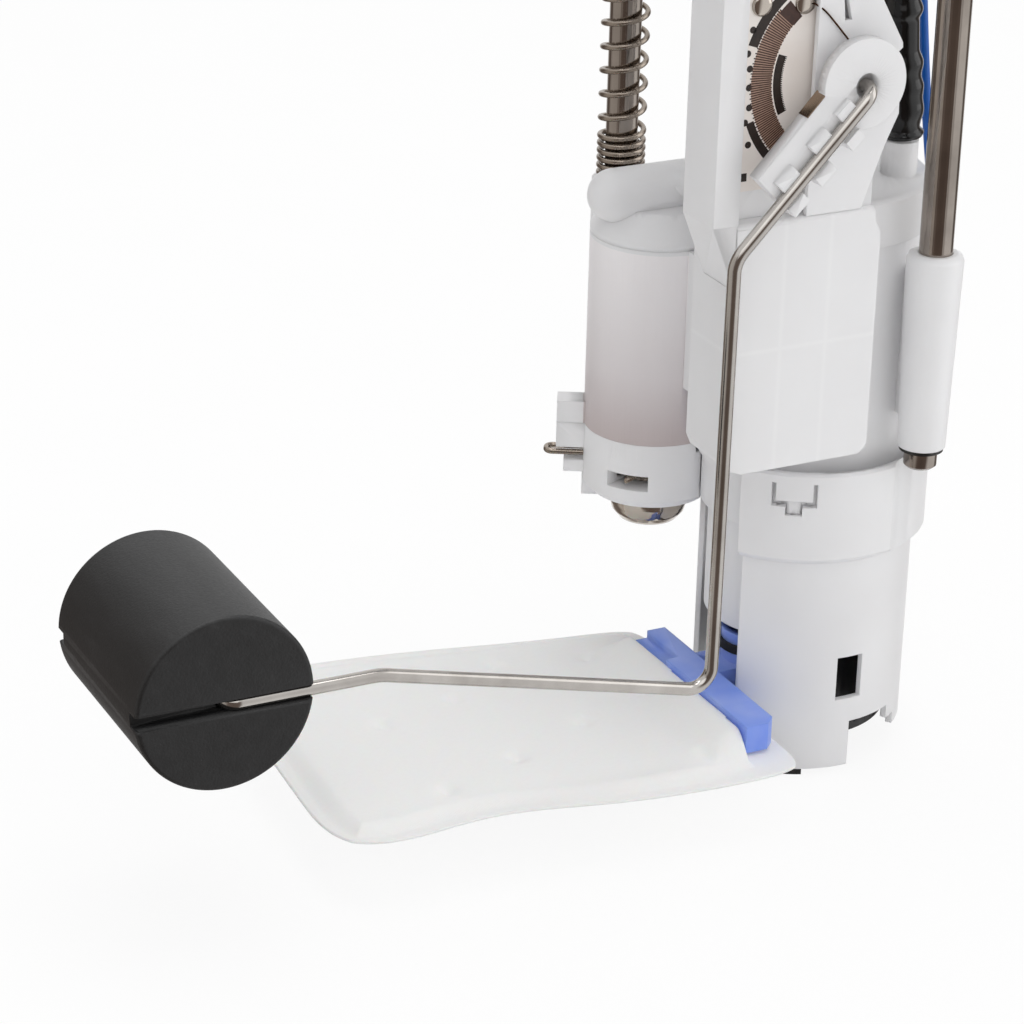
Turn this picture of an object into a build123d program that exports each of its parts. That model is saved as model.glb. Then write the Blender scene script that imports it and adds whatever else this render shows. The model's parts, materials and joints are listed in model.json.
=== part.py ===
from build123d import *
import math
import os

os.makedirs("parts", exist_ok=True)

# Fuel pump module, in millimetres.
# The origin is the flange centre on its sealing face, +Z up, -Z into the tank.

# ---- fits ----
RUN_FIT = 0.06  # radial, for sliding and turning pairs
PLUG_FIT = 0.1  # radial, for moulded plugs in their bores
SHELL_FIT = 0.2  # radial, between nested shells
BODY_GAP = 0.3  # between curved faces of parts that move apart

# ---- flange, out on the tank ----
FLANGE_R = 69.0
FLANGE_T = 5.0
TANK_HOLE_R = 59.0
SPIGOT_R = TANK_HOLE_R - 0.5
SPIGOT_WALL = 3.0
SPIGOT_DEPTH = 9.0
GASKET_R = (60.0, 64.0)
GASKET_T = 2.0
ROD_BOSS_R = 7.5
ROD_BOSS_Z = -16.0
ROD_TOP_Z = 1.5

# ---- guide rods and spring ----
ROD_A = (24.0, -36.0)
ROD_B = (-14.7, 47.8)
ROD_R = 4.0
ROD_END_Z = -184.4
CLIP_Z = -179.2
CLIP_T = 0.8
CLIP_R = 5.3
CLIP_GROOVE_R = 3.4
GUIDE_BOTTOM_Z = -179.0
GUIDE_A_TOP_Z = -130.5
GUIDE_A_R = (6.8, 5.75)
GUIDE_B_TOP_Z = -133.0
GUIDE_B_R = 7.0
SPRING_R = 5.4
SPRING_WIRE_R = 0.7
SPRING_OPEN_PITCH = 6.0
SPRING_CLOSED_PITCH = 1.5
SPRING_CLOSED_COILS = 4

# ---- pump tube ----
PUMP = (11.0, -3.0)
TUBE_TOP_Z = -130.0
TUBE_BOTTOM_Z = -232.5
TUBE_BORE_R = 20.2
TUBE_LOW_R = 22.0
COLLAR_R = 24.2
COLLAR_Z = (-203.3, -192.0)
HOUSING_R = 25.6
CAP_R = 27.0
CAP_TOP_Z = -118.0

# ---- canister ----
CAN = (-16.0, 24.5)
CAN_R = 16.9
CAN_BORE_R = 15.1
CAN_TOP_Z = -139.0
CAN_BOTTOM_Z = -189.3
BASE_BOTTOM_Z = -206.6
REG_R = 9.8

# ---- pump ----
SHELL_R = 18.4
SHELL_T = 1.2
SHELL_Z = (-229.0, -142.0)
SHAFT_R = 2.0
INLET = (-1.5, -6.0)
INLET_STUB_R = 5.5
INLET_CAP_R = 20.0
INLET_CAP_Z = SHELL_Z[0] - 25.5
NECK_R = 8.0
NECK_TOP_Z = SHELL_Z[0] - 6.0
STRAINER_DROP = 19.0  # the strainer's cloth lies this far under the pump shell
SOCK_TOP_Z = SHELL_Z[0] - STRAINER_DROP
STRIP_H = 7.0
SADDLE_Z = SOCK_TOP_Z + 5.0

# ---- cup ----
CUP_RING_R = (29.6, 31.4)
CUP_RING_Z = (-208.2, -184.5)
CUP_SLEEVE_R = (26.9, 28.5)
CUP_OPEN = 117.0
CUP_FOOT_Z = -264.8
CUP_ARCH_Z = -252.9
CUP_REST_Z = -256.6
CUP_CUT = -148.0

# ---- front box ----
BOX_X = (-32.2, 5.7)
BOX_Y = (-40.2, -21.1)
BOX_Z = (-176.4, -115.4)
BOX_WALL = 1.6

# ---- level sender ----
HUB = (-5.0, -83.9)
HUB_R = 10.5
HUB_DISC_T = 2.8
HUB_FRONT_Y = -46.4
HUB_BACK_Y = -41.0
PIVOT_R = 5.0
COVER_Y = (-40.0, -38.6)
CARD_Y = (-37.2, -36.2)
PLATE_Y = (-36.2, -34.0)
SENDER_TOP_Z = -50.0
WIRE_R = 1.6
WIRE_Y = HUB_FRONT_Y - WIRE_R
FLOAT_C = (-160.0, -204.1)
FLOAT_R = 20.8
FLOAT_Y = (-50.0, 0.0)

# ---- hose and leads ----
HOSE_LOW = (27.4, -14.0, -112.0)
HOSE_HIGH = (19.5, -14.0, -22.0)
HOSE_BORE_R = 3.6
HOSE_CREST_R = 5.3
HOSE_PITCH = 6.4
PUMP_LEAD_R = 1.2
SENDER_LEAD_R = 0.8


def column(at, z0, z1, r):
    """A vertical round bar at a plan point."""
    return Pos(at[0], at[1], z0) * Cylinder(r, z1 - z0, align=(Align.CENTER, Align.CENTER, Align.MIN))


def pipe(at, z0, z1, outer, inner):
    """A vertical tube at a plan point."""
    return column(at, z0, z1, outer) - column(at, z0 - 1, z1 + 1, inner)


def block(x0, x1, y0, y1, z0, z1):
    """A box between two corners."""
    return Pos(x0, y0, z0) * Box(x1 - x0, y1 - y0, z1 - z0, align=(Align.MIN, Align.MIN, Align.MIN))


def turned(at, profile):
    """A profile of (radius, height) points turned about a vertical line."""
    face = make_face(Polyline(*[(r, 0, z) for r, z in profile], close=True))
    return Pos(at[0], at[1], 0) * revolve(face, axis=Axis.Z)


def wedge(at, z0, z1, a0, a1):
    """A prism over the angles from a0 to a1 about a plan point, reaching well past the object."""
    steps = max(2, math.ceil((a1 - a0) / 40))
    points = [(at[0], at[1], z0)]
    for i in range(steps + 1):
        angle = math.radians(a0 + (a1 - a0) * i / steps)
        points.append((at[0] + 70 * math.cos(angle), at[1] + 70 * math.sin(angle), z0))
    return extrude(make_face(Polyline(*points, close=True)), amount=z1 - z0, dir=(0, 0, 1))


def sector(at, z0, z1, outer, inner, a0, a1):
    """Part of a tube's wall between two angles."""
    return pipe(at, z0, z1, outer, inner) & wedge(at, z0 - 1, z1 + 1, a0, a1)


def slab(points, y0, y1):
    """A plate whose outline lies in the XZ plane."""
    face = make_face(Polyline(*[(x, y0, z) for x, z in points], close=True))
    return extrude(face, amount=y1 - y0, dir=(0, 1, 0))


def bar(start, end, r):
    """A straight round bar between two points."""
    line = Line(start, end)
    return extrude(Plane(origin=start, z_dir=line % 0) * Circle(r), amount=line.length)


def bent(points, radii, r):
    """A round wire through points with a bend of the given radius at each corner."""
    path = FilletPolyline(*points, radius=radii)
    return sweep(Plane(origin=path @ 0, z_dir=path % 0) * Circle(r), path=path)


def lead_radii(points):
    """The largest easy bend at each inner point of a lead: 0.45 of the shorter run over the half turn."""
    found = []
    for a, b, c in zip(points, points[1:], points[2:]):
        before = Vector(*b) - Vector(*a)
        after = Vector(*c) - Vector(*b)
        half = math.radians(before.get_angle(after)) / 2
        found.append(0.45 * min(before.length, after.length) / math.tan(half))
    return found


def save(name, shape):
    """Write one piece."""
    export_step(shape, "parts/" + name + ".step")
    print(name, round(shape.volume, 1))


# ================= flange =================
PIN_Y = 6.0
PIN_X = (20.0, 26.0, 32.0, 38.0)
PIN_HALF = 0.8
PIN_LOW_Z = -8.0
PIN_TOP_Z = 15.0
hose_dir = Vector(*HOSE_HIGH) - Vector(*HOSE_LOW)
hose_unit = hose_dir.normalized()


def hose_at(z):
    """The point of the hose's line at a height."""
    return tuple(Vector(*HOSE_LOW) + hose_dir * ((z - HOSE_LOW[2]) / hose_dir.Z))


flange = column((0, 0), 0, FLANGE_T, FLANGE_R)
flange += pipe((0, 0), FLANGE_T, FLANGE_T + 2.5, FLANGE_R - 5, FLANGE_R - 7.5)
flange += block(-5, 5, -FLANGE_R - 2.5, -FLANGE_R + 2, 0, FLANGE_T)
flange += pipe((0, 0), -SPIGOT_DEPTH, 0, SPIGOT_R, SPIGOT_R - SPIGOT_WALL)
flange += column(ROD_A, ROD_BOSS_Z, 0, ROD_BOSS_R)
flange += column(ROD_B, ROD_BOSS_Z, 0, ROD_BOSS_R)
OUTLET_Z = 12.0
OUTLET_R = 3.95
OUTLET_REACH = 38.0
OUTLET_TIP = 18.0
BEAD_T = 2.0
BEAD_R = 5.0
outlet_at = (hose_at(0)[0], HOSE_HIGH[1])
bead_x = outlet_at[0] + OUTLET_REACH - OUTLET_TIP
flange += column(outlet_at, FLANGE_T, OUTLET_Z + 6.5, 7.0)
stub_start = (outlet_at[0], outlet_at[1], OUTLET_Z)
flange += bar(stub_start, (outlet_at[0] + OUTLET_REACH, outlet_at[1], OUTLET_Z), OUTLET_R)
flange += bar((bead_x - BEAD_T, outlet_at[1], OUTLET_Z), (bead_x, outlet_at[1], OUTLET_Z), BEAD_R)
flange += column(outlet_at, -8, 0, 6.5)
flange += bar(hose_at(-1), hose_at(-26), HOSE_BORE_R)
flange -= column(ROD_A, ROD_BOSS_Z - 1, ROD_TOP_Z, ROD_R)
flange -= column(ROD_B, ROD_BOSS_Z - 1, ROD_TOP_Z, ROD_R)
flange -= pipe((0, 0), -1, GASKET_T, GASKET_R[1], GASKET_R[0])
flange -= bar(hose_at(-30), hose_at(0), 2.2)
flange -= column(outlet_at, -2, OUTLET_Z, 2.2)
flange -= bar(stub_start, (outlet_at[0] + OUTLET_REACH + 1, outlet_at[1], OUTLET_Z), 2.2)
pin_y = (PIN_Y - PIN_HALF, PIN_Y + PIN_HALF)
pins = [block(x - PIN_HALF, x + PIN_HALF, pin_y[0], pin_y[1], PIN_LOW_Z, PIN_TOP_Z) for x in PIN_X]
for pin in pins:
    flange -= pin
save("flange_plate", flange)
save("flange_gasket", pipe((0, 0), 0, GASKET_T, GASKET_R[1], GASKET_R[0]))

shell = block(PIN_X[0] - 6, PIN_X[3] + 6, PIN_Y - 8, PIN_Y + 8, FLANGE_T, 22)
shell -= block(PIN_X[0] - 4, PIN_X[3] + 4, PIN_Y - 6, PIN_Y + 6, FLANGE_T + 3, 23)
shell += block(PIN_X[1], PIN_X[2], PIN_Y + 8, PIN_Y + 10, 13, 19)
for pin in pins:
    shell -= pin
save("connector_shell", shell)
save("connector_pins", Compound(children=pins))

# ================= guide rods, clips and spring =================


def guide_rod(at):
    """A ground rod with a chamfered end and a groove for its clip."""
    profile = [(0, ROD_END_Z), (ROD_R - 0.6, ROD_END_Z), (ROD_R, ROD_END_Z + 0.6)]
    profile += [(ROD_R, ROD_TOP_Z), (0, ROD_TOP_Z)]
    rod = turned(at, profile)
    return rod - pipe(at, CLIP_Z - CLIP_T, CLIP_Z, ROD_R + 1, CLIP_GROOVE_R)


def rod_clip(at):
    """An open clip washer in the rod's groove."""
    ring = pipe(at, CLIP_Z - CLIP_T, CLIP_Z, CLIP_R, CLIP_GROOVE_R)
    return ring - block(at[0] - 1.6, at[0] + 1.6, at[1], at[1] + 10, CLIP_Z - 2, CLIP_Z + 1)


save("guide_rod_right", guide_rod(ROD_A))
save("guide_rod_left", guide_rod(ROD_B))
save("rod_clips", Compound(children=[rod_clip(ROD_A), rod_clip(ROD_B)]))

SPRING_LOW_Z = GUIDE_B_TOP_Z + SPRING_WIRE_R
SPRING_HIGH_Z = ROD_BOSS_Z - SPRING_WIRE_R
CLOSED_H = SPRING_CLOSED_COILS * SPRING_CLOSED_PITCH
open_height = SPRING_HIGH_Z - SPRING_LOW_Z - 2 * CLOSED_H
open_turns = round(open_height / SPRING_OPEN_PITCH)


def coil(pitch, height, z0, start_angle):
    """A helical stretch of the spring wire."""
    helix = Helix(pitch=pitch, height=height, radius=SPRING_R)
    section = Plane(origin=helix @ 0, z_dir=helix % 0) * Circle(SPRING_WIRE_R)
    solid = sweep(section, path=helix, is_frenet=True)
    return Pos(ROD_B[0], ROD_B[1], z0) * Rot(0, 0, start_angle) * solid


spring = coil(SPRING_CLOSED_PITCH, CLOSED_H, SPRING_LOW_Z, 0)
spring += coil(open_height / open_turns, open_height, SPRING_LOW_Z + CLOSED_H, 0)
spring += coil(SPRING_CLOSED_PITCH, CLOSED_H, SPRING_HIGH_Z - CLOSED_H, 0)
for joint_z in (SPRING_LOW_Z + CLOSED_H, SPRING_HIGH_Z - CLOSED_H):
    spring += Pos(ROD_B[0] + SPRING_R, ROD_B[1], joint_z) * Sphere(SPRING_WIRE_R)
save("rod_spring", spring)

# ================= carrier =================
LUG_ANGLE = 151.5
LUG_R = 23.6
LUG_TOP_Z = -183.6
LUG_HALF = 3.2
HAIRPIN_Z = -197.6
HAIRPIN_R = 0.75


def lug(z0, z1, inner, outer):
    """A plate that stands out from the canister's left side."""
    plate = block(inner, outer, -LUG_HALF, LUG_HALF, z0, z1)
    return Pos(CAN[0], CAN[1], 0) * Rot(0, 0, LUG_ANGLE) * plate


tube = turned(
    PUMP,
    [
        (TUBE_BORE_R, TUBE_BOTTOM_Z),
        (TUBE_LOW_R, TUBE_BOTTOM_Z),
        (TUBE_LOW_R, COLLAR_Z[0]),
        (COLLAR_R, COLLAR_Z[0]),
        (COLLAR_R, COLLAR_Z[1]),
        (HOUSING_R, COLLAR_Z[1] + 2),
        (HOUSING_R, TUBE_TOP_Z),
        (TUBE_BORE_R, TUBE_TOP_Z),
    ],
)
carrier = tube + column(CAN, CAN_BOTTOM_Z, CAN_TOP_Z, CAN_R)
guide_a = turned(
    ROD_A,
    [
        (0, GUIDE_BOTTOM_Z),
        (GUIDE_A_R[1], GUIDE_BOTTOM_Z),
        (GUIDE_A_R[0], GUIDE_A_TOP_Z - 1.6),
        (GUIDE_A_R[0] - 0.5, GUIDE_A_TOP_Z - 0.5),
        (GUIDE_A_R[0] - 1.6, GUIDE_A_TOP_Z),
        (0, GUIDE_A_TOP_Z),
    ],
)
carrier += guide_a
carrier += block(22.5, 26.5, -31.0, -24.5, -174, -137)
carrier += column(ROD_B, GUIDE_BOTTOM_Z, GUIDE_B_TOP_Z, GUIDE_B_R)
carrier += block(-30.2, -6, BOX_Y[1], BOX_Y[1] + 2.2, -172, -121)
carrier += block(-17.2, -14.8, BOX_Y[1] + 1, 10, -174, -139)
carrier += lug(CAN_BOTTOM_Z, LUG_TOP_Z, CAN_R - 1.5, LUG_R)
SOCKET_Z = -128.0
carrier += block(33.0, 43.5, -11.0, -5.0, SOCKET_Z - 13.0, SOCKET_Z)
LATCH_ANGLES = (-123.5, -20.0, 60.0)
for angle in LATCH_ANGLES:
    carrier += sector(PUMP, -195.5, -186, CUP_RING_R[0] - PLUG_FIT, TUBE_LOW_R, angle - 6, angle + 6)
tooth = (LATCH_ANGLES[0] - 3, LATCH_ANGLES[0] + 3)
carrier += sector(PUMP, -195.0, -191.8, CUP_RING_R[1] - 1.0, TUBE_LOW_R, tooth[0], tooth[1])
carrier -= column(PUMP, TUBE_BOTTOM_Z - 1, TUBE_TOP_Z + 1, TUBE_BORE_R)
carrier -= column(CAN, CAN_BOTTOM_Z - 1, CAN_TOP_Z, CAN_BORE_R)
above_can = column(CAN, CAN_TOP_Z - 0.01, CAN_TOP_Z + 20, CAN_R + SHELL_FIT)
carrier -= above_can - column(PUMP, CAN_TOP_Z - 11, CAN_TOP_Z + 39, HOUSING_R)
carrier -= sector(PUMP, -180, -136, 23.8, 22.0, -128, 92)
carrier -= column(PUMP, TUBE_TOP_Z, -100, CAP_R + SHELL_FIT)
carrier -= column(ROD_A, GUIDE_BOTTOM_Z - 1, GUIDE_A_TOP_Z + 1, ROD_R + RUN_FIT)
carrier -= column(ROD_B, GUIDE_BOTTOM_Z - 1, GUIDE_B_TOP_Z + 1, ROD_R + RUN_FIT)
save("carrier_body", carrier)

# ---- manifold: cap on the pump tube, duct across the canister ----
CHAMBER_R = 22.5
DUCT_Y = 24.5
DUCT_Z = -128.5
DUCT_R = 6.5
DUCT_END_X = -35.4
NIPPLE = (26.5, -14.0)
NIPPLE_R = 4.4
NIPPLE_TOP_Z = -109.7
FEED_Y = 28.2
FEED_Z = -127.6
RETURN_Z = -126.0
BORE_R = 1.8
BOSS_BORE_R = 4.0
manifold = turned(
    PUMP,
    [
        (0, TUBE_TOP_Z - 3),
        (TUBE_BORE_R - PLUG_FIT, TUBE_TOP_Z - 3),
        (TUBE_BORE_R - PLUG_FIT, TUBE_TOP_Z),
        (CAP_R, TUBE_TOP_Z),
        (CAP_R, CAP_TOP_Z - 1.2),
        (CAP_R - 1.2, CAP_TOP_Z),
        (0, CAP_TOP_Z),
    ],
)
duct = bar((DUCT_END_X + DUCT_R, DUCT_Y, DUCT_Z), (PUMP[0], DUCT_Y, DUCT_Z), DUCT_R)
duct += Pos(DUCT_END_X + DUCT_R, DUCT_Y, DUCT_Z) * Sphere(DUCT_R)
lid = turned(
    CAN,
    [
        (0, CAN_TOP_Z - 3),
        (CAN_BORE_R - PLUG_FIT, CAN_TOP_Z - 3),
        (CAN_BORE_R - PLUG_FIT, CAN_TOP_Z),
        (CAN_R, CAN_TOP_Z),
        (CAN_R, CAN_TOP_Z + 1.5),
        (CAN_R - 5.5, CAN_TOP_Z + 7.5),
        (0, CAN_TOP_Z + 7.5),
    ],
)
outside_tube = duct + lid
outside_tube += bar((CAN[0], CAN[1], RETURN_Z), (-5.0, 13.2, RETURN_Z), 4.0)
outside_tube -= column(PUMP, -160, TUBE_TOP_Z, HOUSING_R + SHELL_FIT)
outside_tube -= column(ROD_B, -160, -100, GUIDE_B_R + SHELL_FIT)
manifold += outside_tube
manifold -= column(PUMP, TUBE_TOP_Z, CAP_TOP_Z - 3, CHAMBER_R)
inner = column(PUMP, TUBE_TOP_Z - 3, CAP_TOP_Z - 1, 6.5)
inner += bar((PUMP[0], PUMP[1], FEED_Z), (PUMP[0], FEED_Y, FEED_Z), 3.4)
inner &= column(PUMP, TUBE_TOP_Z - 3, CAP_TOP_Z - 1, CHAMBER_R + 1)
tube_rim = column(PUMP, TUBE_TOP_Z - 5, TUBE_TOP_Z, HOUSING_R)
inner -= tube_rim - column(PUMP, TUBE_TOP_Z - 6, TUBE_TOP_Z + 1, TUBE_BORE_R - PLUG_FIT)
manifold += inner
manifold += column(NIPPLE, CAP_TOP_Z - 1, NIPPLE_TOP_Z, NIPPLE_R)
manifold += bar(hose_at(NIPPLE_TOP_Z - 2), hose_at(-98), HOSE_BORE_R - BODY_GAP)
GROUND_AT = (10.0, 17.0)
manifold += column(GROUND_AT, CAP_TOP_Z - 1, CAP_TOP_Z + 4, 3.2)
manifold -= column(PUMP, TUBE_TOP_Z - 4, -126.5, BOSS_BORE_R)
manifold -= bar((PUMP[0], PUMP[1], FEED_Z), (PUMP[0], FEED_Y + 1.8, FEED_Z), BORE_R)
manifold -= bar((PUMP[0], FEED_Y, FEED_Z), (CAN[0] - 8, FEED_Y, FEED_Z), BORE_R)
manifold -= column((CAN[0] - 8, FEED_Y), CAN_TOP_Z - 4, FEED_Z, BORE_R)
manifold -= column(CAN, CAN_TOP_Z - 4, RETURN_Z, BORE_R)
manifold -= bar((CAN[0], CAN[1], RETURN_Z), (-3.6, 11.9, RETURN_Z), BORE_R)
manifold -= column(NIPPLE, CAP_TOP_Z - 4, CAP_TOP_Z + 4, 2.0)
manifold -= bar(hose_at(-115), hose_at(-90), 2.0)
save("manifold_cap", manifold)

# ---- canister contents and base ----
PLEATS = 36
ELEMENT_Z = (-186.0, -145.0)
star = []
for i in range(2 * PLEATS):
    radius = 14.4 if i % 2 else 9.5
    angle = math.pi * i / PLEATS
    star.append((CAN[0] + radius * math.cos(angle), CAN[1] + radius * math.sin(angle)))
pleated = extrude(make_face(Polyline(*[(x, y, ELEMENT_Z[0] + 2) for x, y in star], close=True)), amount=37)
element = pleated + pipe(CAN, ELEMENT_Z[0], ELEMENT_Z[0] + 2, 14.6, 3)
element += pipe(CAN, ELEMENT_Z[1] - 2, ELEMENT_Z[1], 14.6, 3)
element_bore = column(CAN, ELEMENT_Z[0] - 1, ELEMENT_Z[1] + 1, 7.0)
element -= element_bore - column(CAN, ELEMENT_Z[1] - 2, ELEMENT_Z[1] + 2, 8)
element -= column(CAN, ELEMENT_Z[1] - 5, ELEMENT_Z[1] + 1, 3.0)
save("filter_element", element)

CLIP_SLOT_Z = (-201.5, -197.5)
base = turned(
    CAN,
    [
        (0, BASE_BOTTOM_Z),
        (CAN_R - 2.2, BASE_BOTTOM_Z),
        (CAN_R, BASE_BOTTOM_Z + 2.2),
        (CAN_R, CAN_BOTTOM_Z),
        (CAN_BORE_R - PLUG_FIT, CAN_BOTTOM_Z),
        (CAN_BORE_R - PLUG_FIT, CAN_BOTTOM_Z + 3),
        (0, CAN_BOTTOM_Z + 3),
    ],
)
base += lug(HAIRPIN_Z + 1.7, CAN_BOTTOM_Z, CAN_R - 1.5, LUG_R)
base += lug(HAIRPIN_Z - 4.8, HAIRPIN_Z - 1.8, CAN_R - 1.5, LUG_R - 2.0)
base += lug(BASE_BOTTOM_Z - 1.8, BASE_BOTTOM_Z + 4, CAN_R - 5.0, CAN_R)
base -= column(CAN, BASE_BOTTOM_Z - 1, -196.4, REG_R + PLUG_FIT)
base -= column(CAN, BASE_BOTTOM_Z - 1, CAN_BOTTOM_Z + 4, 6.6)
base -= pipe(CAN, CAN_BOTTOM_Z - 2, CAN_BOTTOM_Z + 4, 13.2, 9.0)
base -= sector(CAN, CLIP_SLOT_Z[0], CLIP_SLOT_Z[1], CAN_R + 1, REG_R, -157, -120)
base -= pipe(CAN, -200.5, -198.5, 13.0, REG_R - 1)
base -= column(PUMP, -212, -180, COLLAR_R + SHELL_FIT)
base -= column(PUMP, COLLAR_Z[1] - SHELL_FIT, CAN_BOTTOM_Z, HOUSING_R + SHELL_FIT)
base -= column(ROD_B, -212, -180, CLIP_R + BODY_GAP)
hairpin_points = [(14.0, -2.0), (LUG_R + 2.4, -2.0), (LUG_R + 2.4, 2.0), (14.0, 2.0)]
hairpin = bent([(x, y, HAIRPIN_Z) for x, y in hairpin_points], [1.6, 1.6], HAIRPIN_R)
hairpin = Pos(CAN[0], CAN[1], 0) * Rot(0, 0, LUG_ANGLE) * hairpin
base -= hairpin
save("canister_base", base)

REG_NECK_R = 6.5
REG_Z = (-215.7, -191.5)
reg = turned(
    CAN,
    [
        (0, REG_Z[0]),
        (4.5, REG_Z[0] + 0.2),
        (7.6, REG_Z[0] + 1.3),
        (9.2, REG_Z[0] + 3.3),
        (REG_R, REG_Z[0] + 5.7),
        (REG_R, -197.0),
        (REG_NECK_R, -197.0),
        (REG_NECK_R, -194.2),
        (5.0, -194.2),
        (5.0, -193.0),
        (REG_NECK_R, -193.0),
        (REG_NECK_R, REG_Z[1]),
        (0, REG_Z[1]),
    ],
)
reg_room = turned(
    CAN,
    [
        (0, REG_Z[0] + 1.0),
        (4.2, REG_Z[0] + 1.2),
        (7.0, REG_Z[0] + 2.3),
        (8.4, REG_Z[0] + 3.9),
        (REG_R - 1.0, REG_Z[0] + 5.7),
        (REG_R - 1.0, -198.0),
        (0, -198.0),
    ],
)
reg -= reg_room
reg -= column(CAN, -199, REG_Z[1] + 1, 2.0)
save("regulator_shell", reg)
save("regulator_seal", pipe(CAN, -194.2, -193.0, 6.55, 5.0))
VALVE_LIFT = 0.8
valve = column(CAN, -203.2, -202.4, 7.6) + column(CAN, -203.2, -199.2, 3.2)
save("regulator_valve", valve)
reg_helix = Helix(pitch=2.0, height=8.4, radius=4.6)
reg_section = Plane(origin=reg_helix @ 0, z_dir=reg_helix % 0) * Circle(0.45)
reg_spring = Pos(CAN[0], CAN[1], REG_Z[0] + 2.7) * sweep(reg_section, path=reg_helix, is_frenet=True)
save("regulator_spring", reg_spring)
CLIP_RING_R = 11.6
CLIP_RING_Z = -199.5
clip_ring = Pos(CAN[0], CAN[1], CLIP_RING_Z) * Torus(CLIP_RING_R, 0.7)
clip_ring -= block(CAN[0], CAN[0] + 20, CAN[1] - 5, CAN[1] + 5, CLIP_RING_Z - 5.5, CLIP_RING_Z + 9.5)


def clip_point(r, angle):
    """A point of the clip at a radius and an angle round the canister."""
    turn = math.radians(angle)
    return (CAN[0] + r * math.cos(turn), CAN[1] + r * math.sin(turn), CLIP_RING_Z)


clip_tail_a = clip_point(CLIP_RING_R, -135)
clip_tail_b = clip_point(16.0, -140)
save("regulator_clip", clip_ring + bar(clip_tail_a, clip_tail_b, 0.7))
save("canister_clip", hairpin)

# ---- front box cover ----
BOX_RISE = 3.0
outline = [
    (BOX_X[0] + 0.0, BOX_Z[0] + 4.0),
    (BOX_X[0] + 1.2, BOX_Z[0] + 1.2),
    (BOX_X[0] + 4.0, BOX_Z[0]),
    (BOX_X[1] - 2.5, BOX_Z[0]),
    (BOX_X[1] - 0.6, BOX_Z[0] + 0.8),
    (BOX_X[1], BOX_Z[0] + 2.8),
    (BOX_X[1], BOX_Z[1] - 6.5),
    (BOX_X[1] - 1.6, BOX_Z[1] - 3.5),
    (BOX_X[1] - 2.0, BOX_Z[1]),
    (BOX_X[0], BOX_Z[1]),
]
box = slab(outline, BOX_Y[0], BOX_Y[1])
box = fillet(box.edges().filter_by(Axis.X).group_by(Axis.Y)[0].group_by(Axis.Z)[-1], 1.2)
hollow_x = (BOX_X[0] + BOX_WALL, BOX_X[1] - BOX_WALL - 1)
hollow_z = (BOX_Z[0] + BOX_WALL + 1, BOX_Z[1] - BOX_WALL)
hollow = block(hollow_x[0], hollow_x[1], BOX_Y[0] + BOX_WALL, BOX_Y[1] + 1, hollow_z[0], hollow_z[1])
ribs = block(-20, -19, BOX_Y[0], BOX_Y[1] - 9, BOX_Z[0], BOX_Z[1])
ribs += block(-8, -7, BOX_Y[0], BOX_Y[1] - 9, BOX_Z[0], BOX_Z[1])
ribs += block(BOX_X[0], BOX_X[1], BOX_Y[0], BOX_Y[1] - 9, -147, -146)
box -= hollow - ribs
box -= column(PUMP, -180, TUBE_TOP_Z, HOUSING_R + SHELL_FIT)
box -= column(PUMP, TUBE_TOP_Z, -110, CAP_R + SHELL_FIT)
box -= block(-30.2 - PLUG_FIT, -6, BOX_Y[1] - 0.01, BOX_Y[1] + 3, -172 - PLUG_FIT, -121 + PLUG_FIT)
save("front_box_cover", box)

# ---- pump cup ----
cup = turned(
    PUMP,
    [
        (CUP_SLEEVE_R[0], CUP_FOOT_Z),
        (CUP_SLEEVE_R[1], CUP_FOOT_Z),
        (CUP_SLEEVE_R[1], CUP_RING_Z[0]),
        (CUP_RING_R[1] - 1.5, CUP_RING_Z[0]),
        (CUP_RING_R[1], CUP_RING_Z[0] + 1.5),
        (CUP_RING_R[1], CUP_RING_Z[1] - 0.6),
        (CUP_RING_R[1] - 0.6, CUP_RING_Z[1]),
        (CUP_RING_R[0], CUP_RING_Z[1]),
        (CUP_RING_R[0], CUP_RING_Z[0] + 2),
        (CUP_SLEEVE_R[0], CUP_RING_Z[0] + 2),
    ],
)
cup -= wedge(PUMP, -270, -180, CUP_OPEN, 360 + CUP_CUT)
cup -= wedge(PUMP, CUP_RING_Z[0] + 0.01, -180, 100, CUP_OPEN + 1)
cup -= wedge(PUMP, -270, CUP_ARCH_Z, -88, -60)
cup -= wedge(PUMP, -270, CUP_REST_Z, -60, -52)
cup -= wedge(PUMP, -270, CUP_FOOT_Z + 5.0, -52, -22)
cup -= wedge(PUMP, -270, CUP_REST_Z, -22, 60)
cup -= wedge(PUMP, -270, CUP_REST_Z, 105, CUP_OPEN + 1)
cup -= sector(PUMP, -246.4, -234.9, CUP_SLEEVE_R[1] + 1, CUP_SLEEVE_R[0] - 1, -96.8, -82.6)
cup -= column(ROD_A, CUP_RING_Z[0] - 1, CUP_RING_Z[1] + 1, CLIP_R + BODY_GAP)
window = sector(PUMP, -193.0, -187.0, CUP_RING_R[1] + 1, CUP_RING_R[0] - 1, -133.5, -113.4)
window -= sector(PUMP, -191.5, -186.0, CUP_RING_R[1] + 2, CUP_RING_R[0] - 2, -131.7, -115.2)
cup -= window
cup -= sector(PUMP, -195.2, -191.5, CUP_RING_R[1] + 1, CUP_RING_R[0] - 1, -127.2, -119.8)
save("pump_cup", cup)


def foot_pad(angle):
    """A rubber pad under a foot of the cup, with its key behind the wall."""
    pad = sector(PUMP, CUP_FOOT_Z - 1.6, CUP_FOOT_Z, CUP_SLEEVE_R[1] - 0.2, 23.8, angle - 6, angle + 6)
    return pad + sector(PUMP, CUP_FOOT_Z, CUP_FOOT_Z + 6, CUP_SLEEVE_R[0], 23.8, angle - 6, angle + 6)


save("cup_foot_pads", Compound(children=[foot_pad(-118), foot_pad(82)]))

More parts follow.
